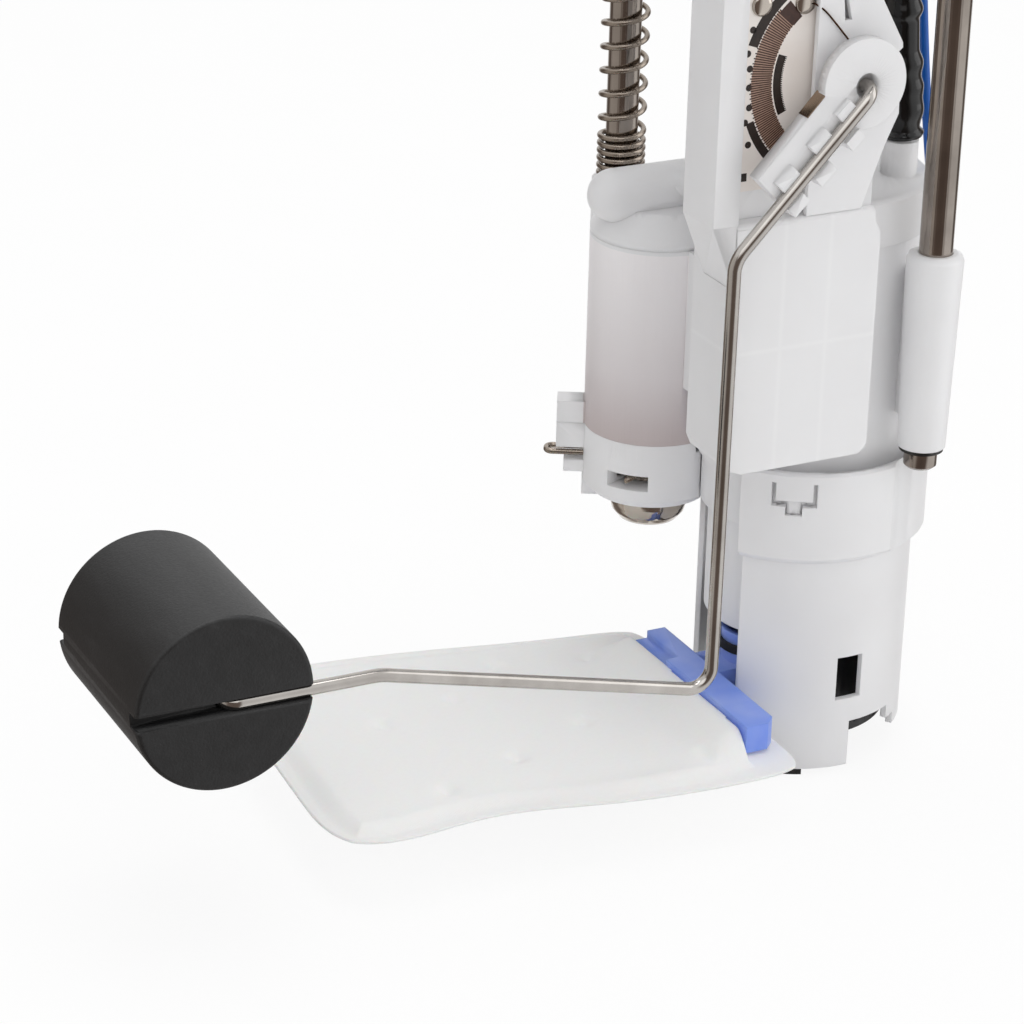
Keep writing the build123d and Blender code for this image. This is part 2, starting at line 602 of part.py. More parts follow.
# ---- pump ----
save("pump_isolator", pipe(PUMP, -224, -146, TUBE_BORE_R - PLUG_FIT, SHELL_R))
save("pump_shell", pipe(PUMP, SHELL_Z[0], SHELL_Z[1], SHELL_R, SHELL_R - SHELL_T))
PLUG_R = SHELL_R - SHELL_T
PLATE_LOW_Z = SHELL_Z[0] + 7.5
POCKET_TOP_Z = NECK_TOP_Z + 1.0
inlet = column(PUMP, INLET_CAP_Z, SHELL_Z[0], INLET_CAP_R) + column(PUMP, SHELL_Z[0], PLATE_LOW_Z, PLUG_R)
inlet += sector(PUMP, INLET_CAP_Z - 3.5, INLET_CAP_Z - 0.5, INLET_CAP_R + 4.5, INLET_CAP_R - 3, -100, -25)
inlet += sector(PUMP, INLET_CAP_Z - 1.0, INLET_CAP_Z + 3.0, INLET_CAP_R, INLET_CAP_R - 3, -100, -25)
inlet -= column(INLET, SOCK_TOP_Z - SHELL_FIT, POCKET_TOP_Z, NECK_R + 1.3)
inlet -= block(-12, INLET[0], -18, INLET[1] + 6.0 + SHELL_FIT, SOCK_TOP_Z - SHELL_FIT, POCKET_TOP_Z)
inlet -= block(8, 14, -26, -19, INLET_CAP_Z - 1.5, INLET_CAP_Z + 2)
inlet += pipe(INLET, SADDLE_Z, POCKET_TOP_Z + 0.5, INLET_STUB_R, 3.6)
inlet -= column(INLET, SADDLE_Z - 1, SHELL_Z[0] + 1, 3.6)
inlet -= block(INLET[0] - 2, INLET[0] + 2, INLET[1] - 2, INLET[1] + 2, SHELL_Z[0], PLATE_LOW_Z + 1.5)
inlet -= column(PUMP, SHELL_Z[0] + 2, PLATE_LOW_Z + 1, SHAFT_R + RUN_FIT)
save("pump_inlet_cap", inlet)
IMPELLER_R = 15.2
WHEEL_H = 5.5
PLATE_MID_Z = PLATE_LOW_Z + WHEEL_H
PLATE_TOP_Z = PLATE_MID_Z + 6.0
plate = pipe(PUMP, PLATE_LOW_Z, PLATE_MID_Z, PLUG_R, IMPELLER_R + 0.5)
plate += pipe(PUMP, PLATE_MID_Z, PLATE_TOP_Z, PLUG_R, SHAFT_R + RUN_FIT)
plate -= column((PUMP[0] + 12, PUMP[1]), PLATE_MID_Z - 1, PLATE_TOP_Z + 1, 1.8)
save("pump_plate", plate)
outlet_cap = column(PUMP, SHELL_Z[1], -135, 18.4) + column(PUMP, -150, SHELL_Z[1], PLUG_R)
outlet_cap += column(PUMP, -136, -130, BOSS_BORE_R - PLUG_FIT)
for side in (-1, 1):
    x0, x1 = sorted((PUMP[0] + side * 7.2, PUMP[0] + side * 13.5))
    outlet_cap += block(x0, x1, PUMP[1] - 4.5, PUMP[1] + 4.5, -161, -149)
outlet_cap -= column(PUMP, -151, -146.5, SHAFT_R + RUN_FIT)
outlet_cap -= column(PUMP, -142, -129, 1.8)
outlet_cap -= column(PUMP, -137.5, -129, 2.6)
outlet_cap -= column((PUMP[0], PUMP[1] + 11), -151, -139.6, 1.6)
outlet_cap -= bar((PUMP[0], PUMP[1] + 12, -141.2), (PUMP[0], PUMP[1], -141.2), 1.6)
brush_slots = []
for side in (-1, 1):
    x0, x1 = sorted((PUMP[0] + side * 6.2, PUMP[0] + side * 12.0))
    brush_slots.append(block(x0, x1, PUMP[1] - 2, PUMP[1] + 2, -159, -154.5))
for brush in brush_slots:
    outlet_cap -= brush
TERMINALS = ((PUMP[0] + 13, PUMP[1] + 5), (PUMP[0] - 13, PUMP[1] + 5))
terminals = [column(at, -151, -133.6, 1.0) for at in TERMINALS]
for terminal in terminals:
    outlet_cap -= terminal
save("pump_outlet_cap", outlet_cap)
save("pump_brushes", Compound(children=brush_slots))
save("pump_terminals", Compound(children=terminals))
magnets = [sector(PUMP, -206, -166, PLUG_R, 14.6, start, start + 130) for start in (-65, 115)]
save("pump_magnets", Compound(children=magnets))
save("outlet_check_ball", Pos(PUMP[0], PUMP[1], -137.5 + math.sqrt(2.3**2 - 1.8**2) + 0.04) * Sphere(2.3))

# ---- rotor ----
save("rotor_shaft", column(PUMP, SHELL_Z[0] + 2.5, -147, SHAFT_R))
stack = pipe(PUMP, -203, -169, 14.0, SHAFT_R)
for i in range(8):
    turn = Pos(PUMP[0], PUMP[1], 0) * Rot(0, 0, 45 * i)
    stack -= turn * block(7, 15, -0.8, 0.8, -204, -168)
    stack -= turn * block(6, 10.5, -2.4, 2.4, -204, -168)
save("rotor_stack", stack)
commutator = pipe(PUMP, -163, -152.5, 6.0, SHAFT_R)
save("rotor_commutator", commutator)
impeller = pipe(PUMP, PLATE_LOW_Z + BODY_GAP, PLATE_MID_Z - BODY_GAP, IMPELLER_R, SHAFT_R)
for i in range(36):
    turn = Pos(PUMP[0], PUMP[1], 0) * Rot(0, 0, 10 * i)
    impeller -= turn * block(12.8, 14.4, -0.7, 0.7, PLATE_LOW_Z - 1, PLATE_MID_Z + 1)
save("rotor_impeller", impeller)

# ---- strainer ----
STRIP_X = (-25.0, -16.5)
STRIP_Y = (-44.0, 12.3)
STRIP_Z = (SOCK_TOP_Z, SOCK_TOP_Z + STRIP_H)
strip = block(STRIP_X[0], STRIP_X[1], STRIP_Y[0], STRIP_Y[1], STRIP_Z[0], STRIP_Z[1])
strip = chamfer(strip.edges().filter_by(Axis.Z).group_by(Axis.Y)[0].group_by(Axis.X)[-1], 2.5)
strip -= block(STRIP_X[0] - 1, STRIP_X[0] + 3.5, -4, 20, SADDLE_Z, STRIP_Z[1] + 1)
NECK_FLOOR_Z = SADDLE_Z - 0.5
FEED_BORE_R = 1.6
FEED_BORE_Z = SOCK_TOP_Z + 2.6
RING_Z = (SOCK_TOP_Z + 8.0, SOCK_TOP_Z + 10.2)
RING_R = (7.0, 8.7)
frame = strip + block(STRIP_X[1] - 1, INLET[0], INLET[1] - 6.0, INLET[1] + 6.0, SOCK_TOP_Z, SADDLE_Z)
frame += column(INLET, SOCK_TOP_Z, NECK_FLOOR_Z, NECK_R)
frame += pipe(INLET, NECK_FLOOR_Z, NECK_TOP_Z, NECK_R, INLET_STUB_R + PLUG_FIT)
frame -= column(INLET, SOCK_TOP_Z + 1.5, NECK_TOP_Z + 1, 3.6)
frame -= column(INLET, NECK_FLOOR_Z, NECK_TOP_Z + 1, INLET_STUB_R + PLUG_FIT)
frame -= bar((INLET[0], INLET[1], FEED_BORE_Z), (-21, INLET[1], FEED_BORE_Z), FEED_BORE_R)
frame -= column((-21, INLET[1]), SOCK_TOP_Z - 2, FEED_BORE_Z, FEED_BORE_R)
frame -= pipe(INLET, RING_Z[0], RING_Z[1], RING_R[1] + 0.3, RING_R[0])
save("strainer_frame", frame)
save("strainer_neck_ring", pipe(INLET, RING_Z[0], RING_Z[1], RING_R[1], RING_R[0]))
SOCK_T = 3.6
sock_outline = [(-18, -53), (-124, -42.5), (-127.5, -38), (-125.5, 45), (-121, 48.5), (-15, 30)]


def sock_layer(z0, z1, shrink):
    """The bag's plan shape between two heights, drawn in by shrink."""
    face = make_face(Polyline(*[(x, y, z0) for x, y in sock_outline], close=True))
    if shrink:
        face = offset(face, amount=-shrink)
    return extrude(face, amount=z1 - z0, dir=(0, 0, 1))


sock = sock_layer(SOCK_TOP_Z - SOCK_T, SOCK_TOP_Z, 0)
sock -= sock_layer(SOCK_TOP_Z - SOCK_T + 0.8, SOCK_TOP_Z - 0.8, 3.0)
sock -= column((-21, INLET[1]), SOCK_TOP_Z - 2, SOCK_TOP_Z + 1, FEED_BORE_R)
save("strainer_sock", sock)

# ---- level sender on the box ----
POST_X = (-38.5, -32.0)
FOOT_Z = BOX_Z[1]
RIVETS = ((-27.3, -66.0), (-16.3, -66.6))
housing = block(POST_X[0], POST_X[1], COVER_Y[0], -26, FOOT_Z, SENDER_TOP_Z)
gusset = [(POST_X[0], FOOT_Z), (BOX_X[0] - 0.1, FOOT_Z), (BOX_X[0] - 0.1, FOOT_Z - 15.6)]
housing += slab(gusset, COVER_Y[0] + 0.1, -26)
housing += block(POST_X[1], 3.5, PLATE_Y[0], PLATE_Y[1], FOOT_Z, SENDER_TOP_Z)
housing += block(POST_X[0], 3.5, PLATE_Y[0], -26, FOOT_Z, FOOT_Z + 2)
housing += block(-2, 3.5, CARD_Y[0], PLATE_Y[0], FOOT_Z, SENDER_TOP_Z)
cover_outline = [
    (-14.0, SENDER_TOP_Z),
    (-4.0, SENDER_TOP_Z),
    (2.4, -67.1),
    (8.2, -77.4),
    (8.3, -78.6),
    (6.6, -80.0),
    (6.6, -88),
    (8.3, -90.0),
    (8.4, -94.0),
    (5.2, -101),
    (0, FOOT_Z),
    (-14.5, FOOT_Z),
]
cover = slab(cover_outline, COVER_Y[0], COVER_Y[1])
cover += block(-2, 3.5, COVER_Y[1], CARD_Y[0], FOOT_Z, -97)
cover += block(-4, -1, COVER_Y[1], CARD_Y[0], -66, SENDER_TOP_Z)
cover -= slab([(-7.9, -65.6), (-6.9, -65.6), (-5.6, -70.8), (-7.4, -70.8)], -42, -36)
cover -= bar((HUB[0], -42, HUB[1]), (HUB[0], -36, HUB[1]), PIVOT_R + RUN_FIT)
save("sender_cover", cover)
housing -= bar((HUB[0], -40, HUB[1]), (HUB[0], -30, HUB[1]), 2.5 + RUN_FIT)
card = block(POST_X[1], -10, CARD_Y[0], CARD_Y[1], -108.5, SENDER_TOP_Z)
rivets = []
for x, z in RIVETS:
    shank = bar((x, CARD_Y[0], z), (x, PLATE_Y[1] + 1.5, z), 1.2)
    housing -= shank
    card -= shank
    head = bar((x, CARD_Y[0] - 1.2, z), (x, CARD_Y[0], z), 2.4)
    rivets.append(shank + head + bar((x, PLATE_Y[1], z), (x, PLATE_Y[1] + 1.5, z), 2.2))
save("sender_housing", housing)
save("resistor_card", card)
save("card_rivets", Compound(children=rivets))
feed = [(RIVETS[1][0] + 2.5, -37.6, RIVETS[1][1] - 0.5), (-11.0, -37.9, -72.0), (-6.0, -37.9, -77.6)]
save("wiper_feed_wire", bent(feed, [6.0], 0.25))

# ---- float arm ----
ARM_START = (-2.6, -86.5)
ARM_DIR = (-0.7133, -0.7009)


def arm_point(s, n):
    """A point of the lever: s along the wire from the hub, n square to it, up and to the left."""
    return (ARM_START[0] + s * ARM_DIR[0] + n * ARM_DIR[1], ARM_START[1] + s * ARM_DIR[1] - n * ARM_DIR[0])


def arm_pad(s0, s1, n0, n1, y0, y1):
    """A rectangular pad of the lever."""
    return slab([arm_point(s0, n0), arm_point(s1, n0), arm_point(s1, n1), arm_point(s0, n1)], y0, y1)


ARM_END = (-3.4, -85.0)
lever = bar((HUB[0], HUB_FRONT_Y, HUB[1]), (HUB[0], HUB_FRONT_Y + HUB_DISC_T, HUB[1]), HUB_R)
lever += bar((HUB[0], HUB_FRONT_Y + 1, HUB[1]), (HUB[0], HUB_BACK_Y, HUB[1]), HUB_R - 2.5)
ARM_LENGTH = 32.0
arm_outline = [arm_point(2, -2.2), arm_point(ARM_LENGTH, -2.2)]
arm_outline += [arm_point(ARM_LENGTH, 8.4), arm_point(3, 9.8)]
lever += slab(arm_outline, HUB_FRONT_Y, -42.4)
LUG_Y = (WIRE_Y - WIRE_R * 0.2, HUB_FRONT_Y)
for s0, s1 in ((5.2, 9.8), (13.5, 19.0), (24.5, 30.0)):
    lever += arm_pad(s0, s1, WIRE_R + 0.05, 5.2, LUG_Y[0], LUG_Y[1])
for s0, s1 in ((8.0, 12.5), (17.8, 23.0), (27.0, 32.0)):
    lever += arm_pad(s0, s1, -4.4, -WIRE_R - 0.05, LUG_Y[0], -42.4)
lever += bar((HUB[0], HUB_BACK_Y, HUB[1]), (HUB[0], -38.1, HUB[1]), PIVOT_R)
lever += bar((HUB[0], -38.1, HUB[1]), (HUB[0], -34.6, HUB[1]), 2.5)
lever -= bar((ARM_END[0], HUB_FRONT_Y - 5, ARM_END[1]), (ARM_END[0], -39.4, ARM_END[1]), WIRE_R)
lever -= bar((-4.4, HUB_FRONT_Y - 1, -84.4), (-4.4, HUB_FRONT_Y + 3.0, -84.4), 3.0)
arm_points = [
    (ARM_END[0], -39.4, ARM_END[1]),
    (ARM_END[0], WIRE_Y, ARM_END[1]),
    (-37.2, WIRE_Y, -120.5),
    (-38.0, WIRE_Y, -226.4),
    (-122.7, WIRE_Y, -205.3),
    (-159.5, WIRE_Y, -205.1),
    (-159.5, -14.0, -205.1),
]
arm_wire = bent(arm_points, [3.4, 7.0, 5.0, 14.0, 3.6], WIRE_R)
lever -= arm_wire
save("float_lever", lever)
save("float_arm_wire", arm_wire)
wiper = bar((HUB[0], -38.4, HUB[1]), (HUB[0], -38.1, HUB[1]), PIVOT_R)
blade = slab([arm_point(2, -2), arm_point(22, -1), arm_point(22, 3), arm_point(2, 5)], -38.1, -37.75)
ring_y = bar((HUB[0], -38.1, HUB[1]), (HUB[0], -37.75, HUB[1]), PIVOT_R - 0.4)
wiper = blade + ring_y - bar((HUB[0], -39, HUB[1]), (HUB[0], -37, HUB[1]), 2.5)
save("wiper_contact", wiper)
SLOT_HALF = WIRE_R + 0.15
drum = bar((FLOAT_C[0], FLOAT_Y[0], FLOAT_C[1]), (FLOAT_C[0], FLOAT_Y[1], FLOAT_C[1]), FLOAT_R)
drum = fillet(drum.edges().filter_by(GeomType.CIRCLE), 1.0)
drum -= block(-190, -130, FLOAT_Y[0] - 1, WIRE_Y + WIRE_R + 0.1, -205.1 - SLOT_HALF, -205.1 + SLOT_HALF)
drum -= block(-190, -130, FLOAT_Y[1] - 4, FLOAT_Y[1] + 1, -205.1 - SLOT_HALF, -205.1 + SLOT_HALF)
drum -= bar((-159.5, WIRE_Y, -205.1), (-159.5, -13.0, -205.1), WIRE_R)
drum -= bar((-155.5, WIRE_Y, -205.1), (-155.5, WIRE_Y + 4, -205.1), WIRE_R + 0.1)
drum -= arm_wire
save("float", drum)

# ================= hose and leads =================
HOSE_START_Z = NIPPLE_TOP_Z + 0.8
HOSE_END_Z = -14.0
hose_length = (Vector(*hose_at(HOSE_END_Z)) - Vector(*hose_at(HOSE_START_Z))).length
waves = int((hose_length - 6) / HOSE_PITCH)
outer = [(HOSE_CREST_R + 0.4, 0.0), (HOSE_CREST_R + 0.4, 1.4), (HOSE_CREST_R - 0.7, 2.0)]
for i in range(waves):
    foot = 2.0 + i * HOSE_PITCH
    outer.append((HOSE_CREST_R - 0.1, foot + HOSE_PITCH * 0.3))
    outer.append((HOSE_CREST_R - 0.1, foot + HOSE_PITCH * 0.7))
    outer.append((HOSE_CREST_R - 0.7, foot + HOSE_PITCH))
outer.append((HOSE_CREST_R - 0.7, hose_length))
hose_profile = [(HOSE_BORE_R, 0.0)] + outer + [(HOSE_BORE_R, hose_length)]
hose_plane = Plane(origin=hose_at(HOSE_START_Z), x_dir=(0, 1, 0), z_dir=tuple(hose_unit))
hose_face = make_face(Polyline(*[(r, 0, s) for r, s in hose_profile], close=True))
save("fuel_hose", hose_plane.location * revolve(hose_face, axis=Axis.Z))

LIVE = [(PIN_X[3], PIN_Y, PIN_LOW_Z), (34.1, -8.0, -74.0), (40.9, -8.0, SOCKET_Z)]
GROUND = [(PIN_X[0], PIN_Y, PIN_LOW_Z), (12.0, 30.0, -62.0), (GROUND_AT[0], GROUND_AT[1], CAP_TOP_Z + 4)]
SENDER_A = [(PIN_X[1], PIN_Y, PIN_LOW_Z), (-6.0, -16.0, -28.0), (-26.0, -31.0, SENDER_TOP_Z)]
SENDER_B = [(PIN_X[2], PIN_Y, PIN_LOW_Z), (2.0, -20.0, -26.0), (-16.0, -31.0, SENDER_TOP_Z)]
for name, points in (("live", LIVE), ("ground", GROUND), ("sender a", SENDER_A), ("sender b", SENDER_B)):
    print(name, "bend radii", [round(r, 1) for r in lead_radii(points)])


def lead(points, r):
    """A lead between a connector pin and its terminal, with both ends cut level."""
    return bent(points, lead_radii(points), r) & block(-60, 60, -60, 60, points[-1][2], points[0][2])


save("pump_lead_live", lead(LIVE, PUMP_LEAD_R))
save("pump_lead_ground", lead(GROUND, PUMP_LEAD_R))
sender_leads = [lead(SENDER_A, SENDER_LEAD_R), lead(SENDER_B, SENDER_LEAD_R)]
save("sender_leads", Compound(children=sender_leads))
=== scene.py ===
import json
import math

import bmesh
import bpy
import numpy as np
from mathutils import Matrix, Vector


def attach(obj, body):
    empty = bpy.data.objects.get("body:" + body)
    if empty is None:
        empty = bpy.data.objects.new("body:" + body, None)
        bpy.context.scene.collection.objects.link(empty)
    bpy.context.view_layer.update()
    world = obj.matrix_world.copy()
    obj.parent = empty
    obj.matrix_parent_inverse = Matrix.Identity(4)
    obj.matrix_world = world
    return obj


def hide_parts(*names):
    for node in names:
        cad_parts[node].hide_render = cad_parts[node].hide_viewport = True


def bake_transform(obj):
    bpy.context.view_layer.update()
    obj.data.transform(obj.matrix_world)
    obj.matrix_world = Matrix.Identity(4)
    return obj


bl_info = {
    "name": "Fuel pump module",
    "version": (1, 0, 0),
    "blender": (4, 5, 0),
    "location": "View3D > Sidebar > Pump Module",
    "description": "Dresses the fuel pump module's frame with its finished surfaces, stage and camera",
    "category": "Add Mesh",
}

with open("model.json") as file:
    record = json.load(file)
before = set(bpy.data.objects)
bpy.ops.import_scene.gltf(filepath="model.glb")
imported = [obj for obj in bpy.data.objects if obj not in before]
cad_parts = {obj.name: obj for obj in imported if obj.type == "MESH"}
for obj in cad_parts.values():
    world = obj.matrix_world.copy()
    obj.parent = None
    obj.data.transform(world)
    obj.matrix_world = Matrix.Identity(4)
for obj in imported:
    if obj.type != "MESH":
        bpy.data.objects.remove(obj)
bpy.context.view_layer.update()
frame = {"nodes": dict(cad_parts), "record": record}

MM = 0.001


# ---- colours and nodes
def linear(hex_colour):
    """sRGB hex to linear RGBA: each channel c becomes c/12.92 when dark, else ((c+0.055)/1.055)^2.4."""
    channels = [int(hex_colour[i : i + 2], 16) / 255 for i in (0, 2, 4)]
    straight = [c / 12.92 if c <= 0.04045 else ((c + 0.055) / 1.055) ** 2.4 for c in channels]
    return straight + [1.0]


def hex_of(colour):
    """A colour property, which Blender holds as sRGB, as hex."""
    return "".join(f"{round(max(0.0, min(1.0, c)) * 255):02X}" for c in colour[:3])


def sockets(node, values):
    """Sets a node's input sockets: each value is a number, a colour, or an output socket to link from."""
    for key, value in values.items():
        socket = node.inputs[key]
        if isinstance(value, bpy.types.NodeSocket):
            node.id_data.links.new(value, socket)
        else:
            socket.default_value = value


def add(tree, kind, inputs=None, **settings):
    """Adds one node with its settings, fills its sockets and returns it."""
    node = tree.nodes.new("ShaderNode" + kind)
    for key, value in settings.items():
        setattr(node, key, value)
    sockets(node, inputs or {})
    return node


def ramp(tree, factor, stops):
    """A colour ramp through (position, hex) stops."""
    node = add(tree, "ValToRGB", {"Fac": factor})
    while len(node.color_ramp.elements) < len(stops):
        node.color_ramp.elements.new(0.5)
    for element, (position, colour) in zip(node.color_ramp.elements, stops):
        element.position = position
        element.color = linear(colour)
    return node.outputs["Color"]


def surface(name):
    """An empty node material: its tree, its Principled shader and its object coordinates."""
    material = bpy.data.materials.new(name)
    material.use_nodes = True
    tree = material.node_tree
    shader = next(n for n in tree.nodes if n.type == "BSDF_PRINCIPLED")
    place = add(tree, "TexCoord").outputs["Object"]
    return material, tree, shader, place


def grain(tree, place, size_mm, detail=3.0, stretch=(1, 1, 1)):
    """Noise whose blobs are about size_mm across, stretched along an axis where asked."""
    mapping = add(tree, "Mapping", {"Vector": place, "Scale": stretch})
    inputs = {"Vector": mapping.outputs["Vector"], "Scale": 1000.0 / size_mm, "Detail": detail}
    return add(tree, "TexNoise", inputs).outputs["Fac"]


def between(tree, factor, low, high):
    """Maps a 0..1 factor to the range low..high."""
    return add(tree, "MapRange", {"Value": factor, "To Min": low, "To Max": high}).outputs["Result"]


def relief(tree, height, depth_mm, edge_mm=0.0):
    """A bump of the given depth, on edges softened over edge_mm."""
    inputs = {"Height": height, "Strength": 1.0, "Distance": depth_mm * MM}
    if edge_mm:
        inputs["Normal"] = add(tree, "Bevel", {"Radius": edge_mm * MM}, samples=6).outputs["Normal"]
    return add(tree, "Bump", inputs).outputs["Normal"]


def maths(tree, operation, *values):
    """One maths node on numbers or sockets."""
    node = add(tree, "Math", operation=operation)
    sockets(node, dict(enumerate(values)))
    return node.outputs[0]


def mixed(tree, factor, first, second):
    """Two colours mixed by a factor; each is hex or an output socket."""
    node = add(tree, "Mix", data_type="RGBA")
    pair = [linear(colour) if isinstance(colour, str) else colour for colour in (first, second)]
    # a colour mix keeps its factor at socket 0 and its two colours at sockets 6 and 7
    sockets(node, {0: factor, 6: pair[0], 7: pair[1]})
    return node.outputs[2]


def near_value(tree, value, centre_mm, half_mm):
    """1 on a coordinate's line at centre_mm, falling softly to 0 at half_mm from it."""
    off = maths(tree, "ABSOLUTE", maths(tree, "SUBTRACT", value, centre_mm * MM))
    inputs = {"Value": off, "From Max": half_mm * MM, "To Min": 1.0, "To Max": 0.0}
    return add(tree, "MapRange", inputs, interpolation_type="SMOOTHSTEP").outputs["Result"]


# ---- materials
def acetal_base(tree, place, colour):
    """The moulding's colour, clouded softly by the way it flowed into the mould."""
    return mixed(tree, grain(tree, place, 26.0, 2.0), colour, "E9E8E9")


def acetal_shader(tree, shader, place, base):
    """The common surface of the white mouldings: satin, milky a millimetre deep, with a faint mould grain."""
    sockets(shader, {
        "Base Color": base,
        "Roughness": between(tree, grain(tree, place, 7.0), 0.34, 0.5),
        "IOR": 1.48,
        "Subsurface Weight": 0.2,
        "Subsurface Radius": (1.0, 0.96, 0.92),
        "Subsurface Scale": 0.0016,
        "Normal": relief(tree, grain(tree, place, 0.35, 2.0), 0.006, 0.35),
    })


def natural_acetal(name, colour):
    """Natural acetal, injection moulded: milky, faintly see-through, satin, clouded by its flow."""
    material, tree, shader, place = surface(name)
    acetal_shader(tree, shader, place, acetal_base(tree, place, colour))
    return material


TINT_MARGIN = 0.4
# colours of the canister's wall from its top to its foot
FILTER_TINTS = [(0.0, "FAF6F7"), (0.3, "F0ECED"), (0.65, "E2DCDD"), (0.9, "CEC4C4"), (1.0, "C8BCBB")]


def acetal_over_filter(name, colour, axis, radius, low, high):
    """The same acetal, thin enough round the filter to show its dark paper: greyer and browner downwards.
    The tint stays within the radius of the upright axis, and between the two heights."""
    material, tree, shader, place = surface(name)
    base = acetal_base(tree, place, colour)
    axes = add(tree, "SeparateXYZ", {"Vector": place})
    across = maths(tree, "SUBTRACT", axes.outputs["X"], axis[0] * MM)
    along = maths(tree, "SUBTRACT", axes.outputs["Y"], axis[1] * MM)
    square = maths(tree, "ADD", maths(tree, "POWER", across, 2.0), maths(tree, "POWER", along, 2.0))
    inside = maths(tree, "LESS_THAN", maths(tree, "SQRT", square), (radius + TINT_MARGIN) * MM)
    above = maths(tree, "GREATER_THAN", axes.outputs["Z"], (low - TINT_MARGIN) * MM)
    span = {"Value": axes.outputs["Z"], "From Min": high * MM, "From Max": low * MM}
    depth = add(tree, "MapRange", span).outputs["Result"]
    below = maths(tree, "GREATER_THAN", depth, 0.0)
    shown = maths(tree, "MULTIPLY", maths(tree, "MULTIPLY", inside, above), below)
    acetal_shader(tree, shader, place, mixed(tree, shown, base, ramp(tree, depth, FILTER_TINTS)))
    return material


RIB_SHOW = 0.3


def ribbed_acetal(name, colour, upright_mm, level_mm, half_mm):
    """The same acetal over a lattice of ribs, which show through the face as faint paler lines."""
    material, tree, shader, place = surface(name)
    base = acetal_base(tree, place, colour)
    axes = add(tree, "SeparateXYZ", {"Vector": place})
    lines = 0.0
    for value in upright_mm:
        lines = maths(tree, "MAXIMUM", lines, near_value(tree, axes.outputs["X"], value, half_mm))
    for value in level_mm:
        lines = maths(tree, "MAXIMUM", lines, near_value(tree, axes.outputs["Z"], value, half_mm))
    faint = maths(tree, "MULTIPLY", lines, RIB_SHOW)
    acetal_shader(tree, shader, place, mixed(tree, faint, base, "F9F9F9"))
    return material


# how a grain is stretched: evenly, or into scratches along Z
EVERY_WAY = (1, 1, 1)
LENGTHWISE = (1, 1, 0.02)


def bare_steel(name, colour, second, streak=LENGTHWISE, rough=(0.16, 0.3), grain_mm=0.18, edge=0.15):
    """Bare steel, ground or drawn: a warm brown-grey with fine scratches along its length."""
    material, tree, shader, place = surface(name)
    lines = grain(tree, place, grain_mm, 4.0, streak)
    sockets(shader, {
        "Base Color": ramp(tree, grain(tree, place, 9.0, 3.0), [(0.3, colour), (0.75, second)]),
        "Metallic": 1.0,
        "Roughness": between(tree, lines, rough[0], rough[1]),
        "Normal": relief(tree, lines, 0.0015, edge),
    })
    return material


def moulded_plastic(name, colour, second, rough=(0.4, 0.55), edge=0.3, ior=1.5):
    """Filled or pigmented plastic, injection moulded: an even colour with a slight grain."""
    material, tree, shader, place = surface(name)
    sockets(shader, {
        "Base Color": ramp(tree, grain(tree, place, 5.0), [(0.35, colour), (0.7, second)]),
        "Roughness": between(tree, grain(tree, place, 1.5), rough[0], rough[1]),
        "IOR": ior,
        "Normal": relief(tree, grain(tree, place, 0.3, 2.0), 0.008, edge),
    })
    return material


def glossy_rubber(name, colour):
    """Smooth moulded rubber hose: nearly black, wet-looking, with long soft waves from its mandrel."""
    material, tree, shader, place = surface(name)
    waves = grain(tree, place, 7.0, 1.0, (1, 1, 1.6))
    sockets(shader, {
        "Base Color": ramp(tree, waves, [(0.3, colour), (0.8, "0D0D0E")]),
        "Roughness": between(tree, grain(tree, place, 2.0, 1.0), 0.12, 0.24),
        "IOR": 1.42,
        "Coat Weight": 0.15,
        "Coat Roughness": 0.06,
        "Normal": relief(tree, waves, 0.12),
    })
    return material


def clear_blue(name, colour):
    """Pigmented polypropylene, part see-through: paler where it is thin or lit from behind."""
    material, tree, shader, place = surface(name)
    cloud = grain(tree, place, 12.0, 2.0)
    sockets(shader, {
        "Base Color": ramp(tree, cloud, [(0.3, colour), (0.75, "9DB2F4")]),
        "Roughness": between(tree, grain(tree, place, 1.5), 0.3, 0.42),
        "IOR": 1.49,
        "Subsurface Weight": 0.3,
        "Subsurface Radius": (0.6, 0.8, 1.0),
        "Subsurface Scale": 0.002,
        "Normal": relief(tree, grain(tree, place, 0.3, 2.0), 0.006, 0.5),
    })
    return material


FOAM_CELL = 0.55


def float_foam(name):
    """Closed-cell nitrile foam, moulded and skinned: nearly black and dull, pebbled, with a grey bloom."""
    material, tree, shader, place = surface(name)
    cells = add(tree, "TexVoronoi", {"Vector": place, "Scale": 1000 / FOAM_CELL}, feature="SMOOTH_F1")
    pebble = grain(tree, place, 0.8, 6.0)
    height = maths(tree, "ADD", maths(tree, "MULTIPLY", cells.outputs["Distance"], 0.5), pebble)
    scuff = grain(tree, place, 4.0, 6.0, (1, 0.25, 1))
    sockets(shader, {
        "Base Color": ramp(tree, scuff, [(0.35, "101011"), (0.62, "171718"), (0.8, "242425")]),
        "Roughness": between(tree, pebble, 0.46, 0.62),
        "IOR": 1.52,
        "Normal": relief(tree, height, 0.05, 0.5),
    })
    return material


WEAVE_PITCH = 0.6


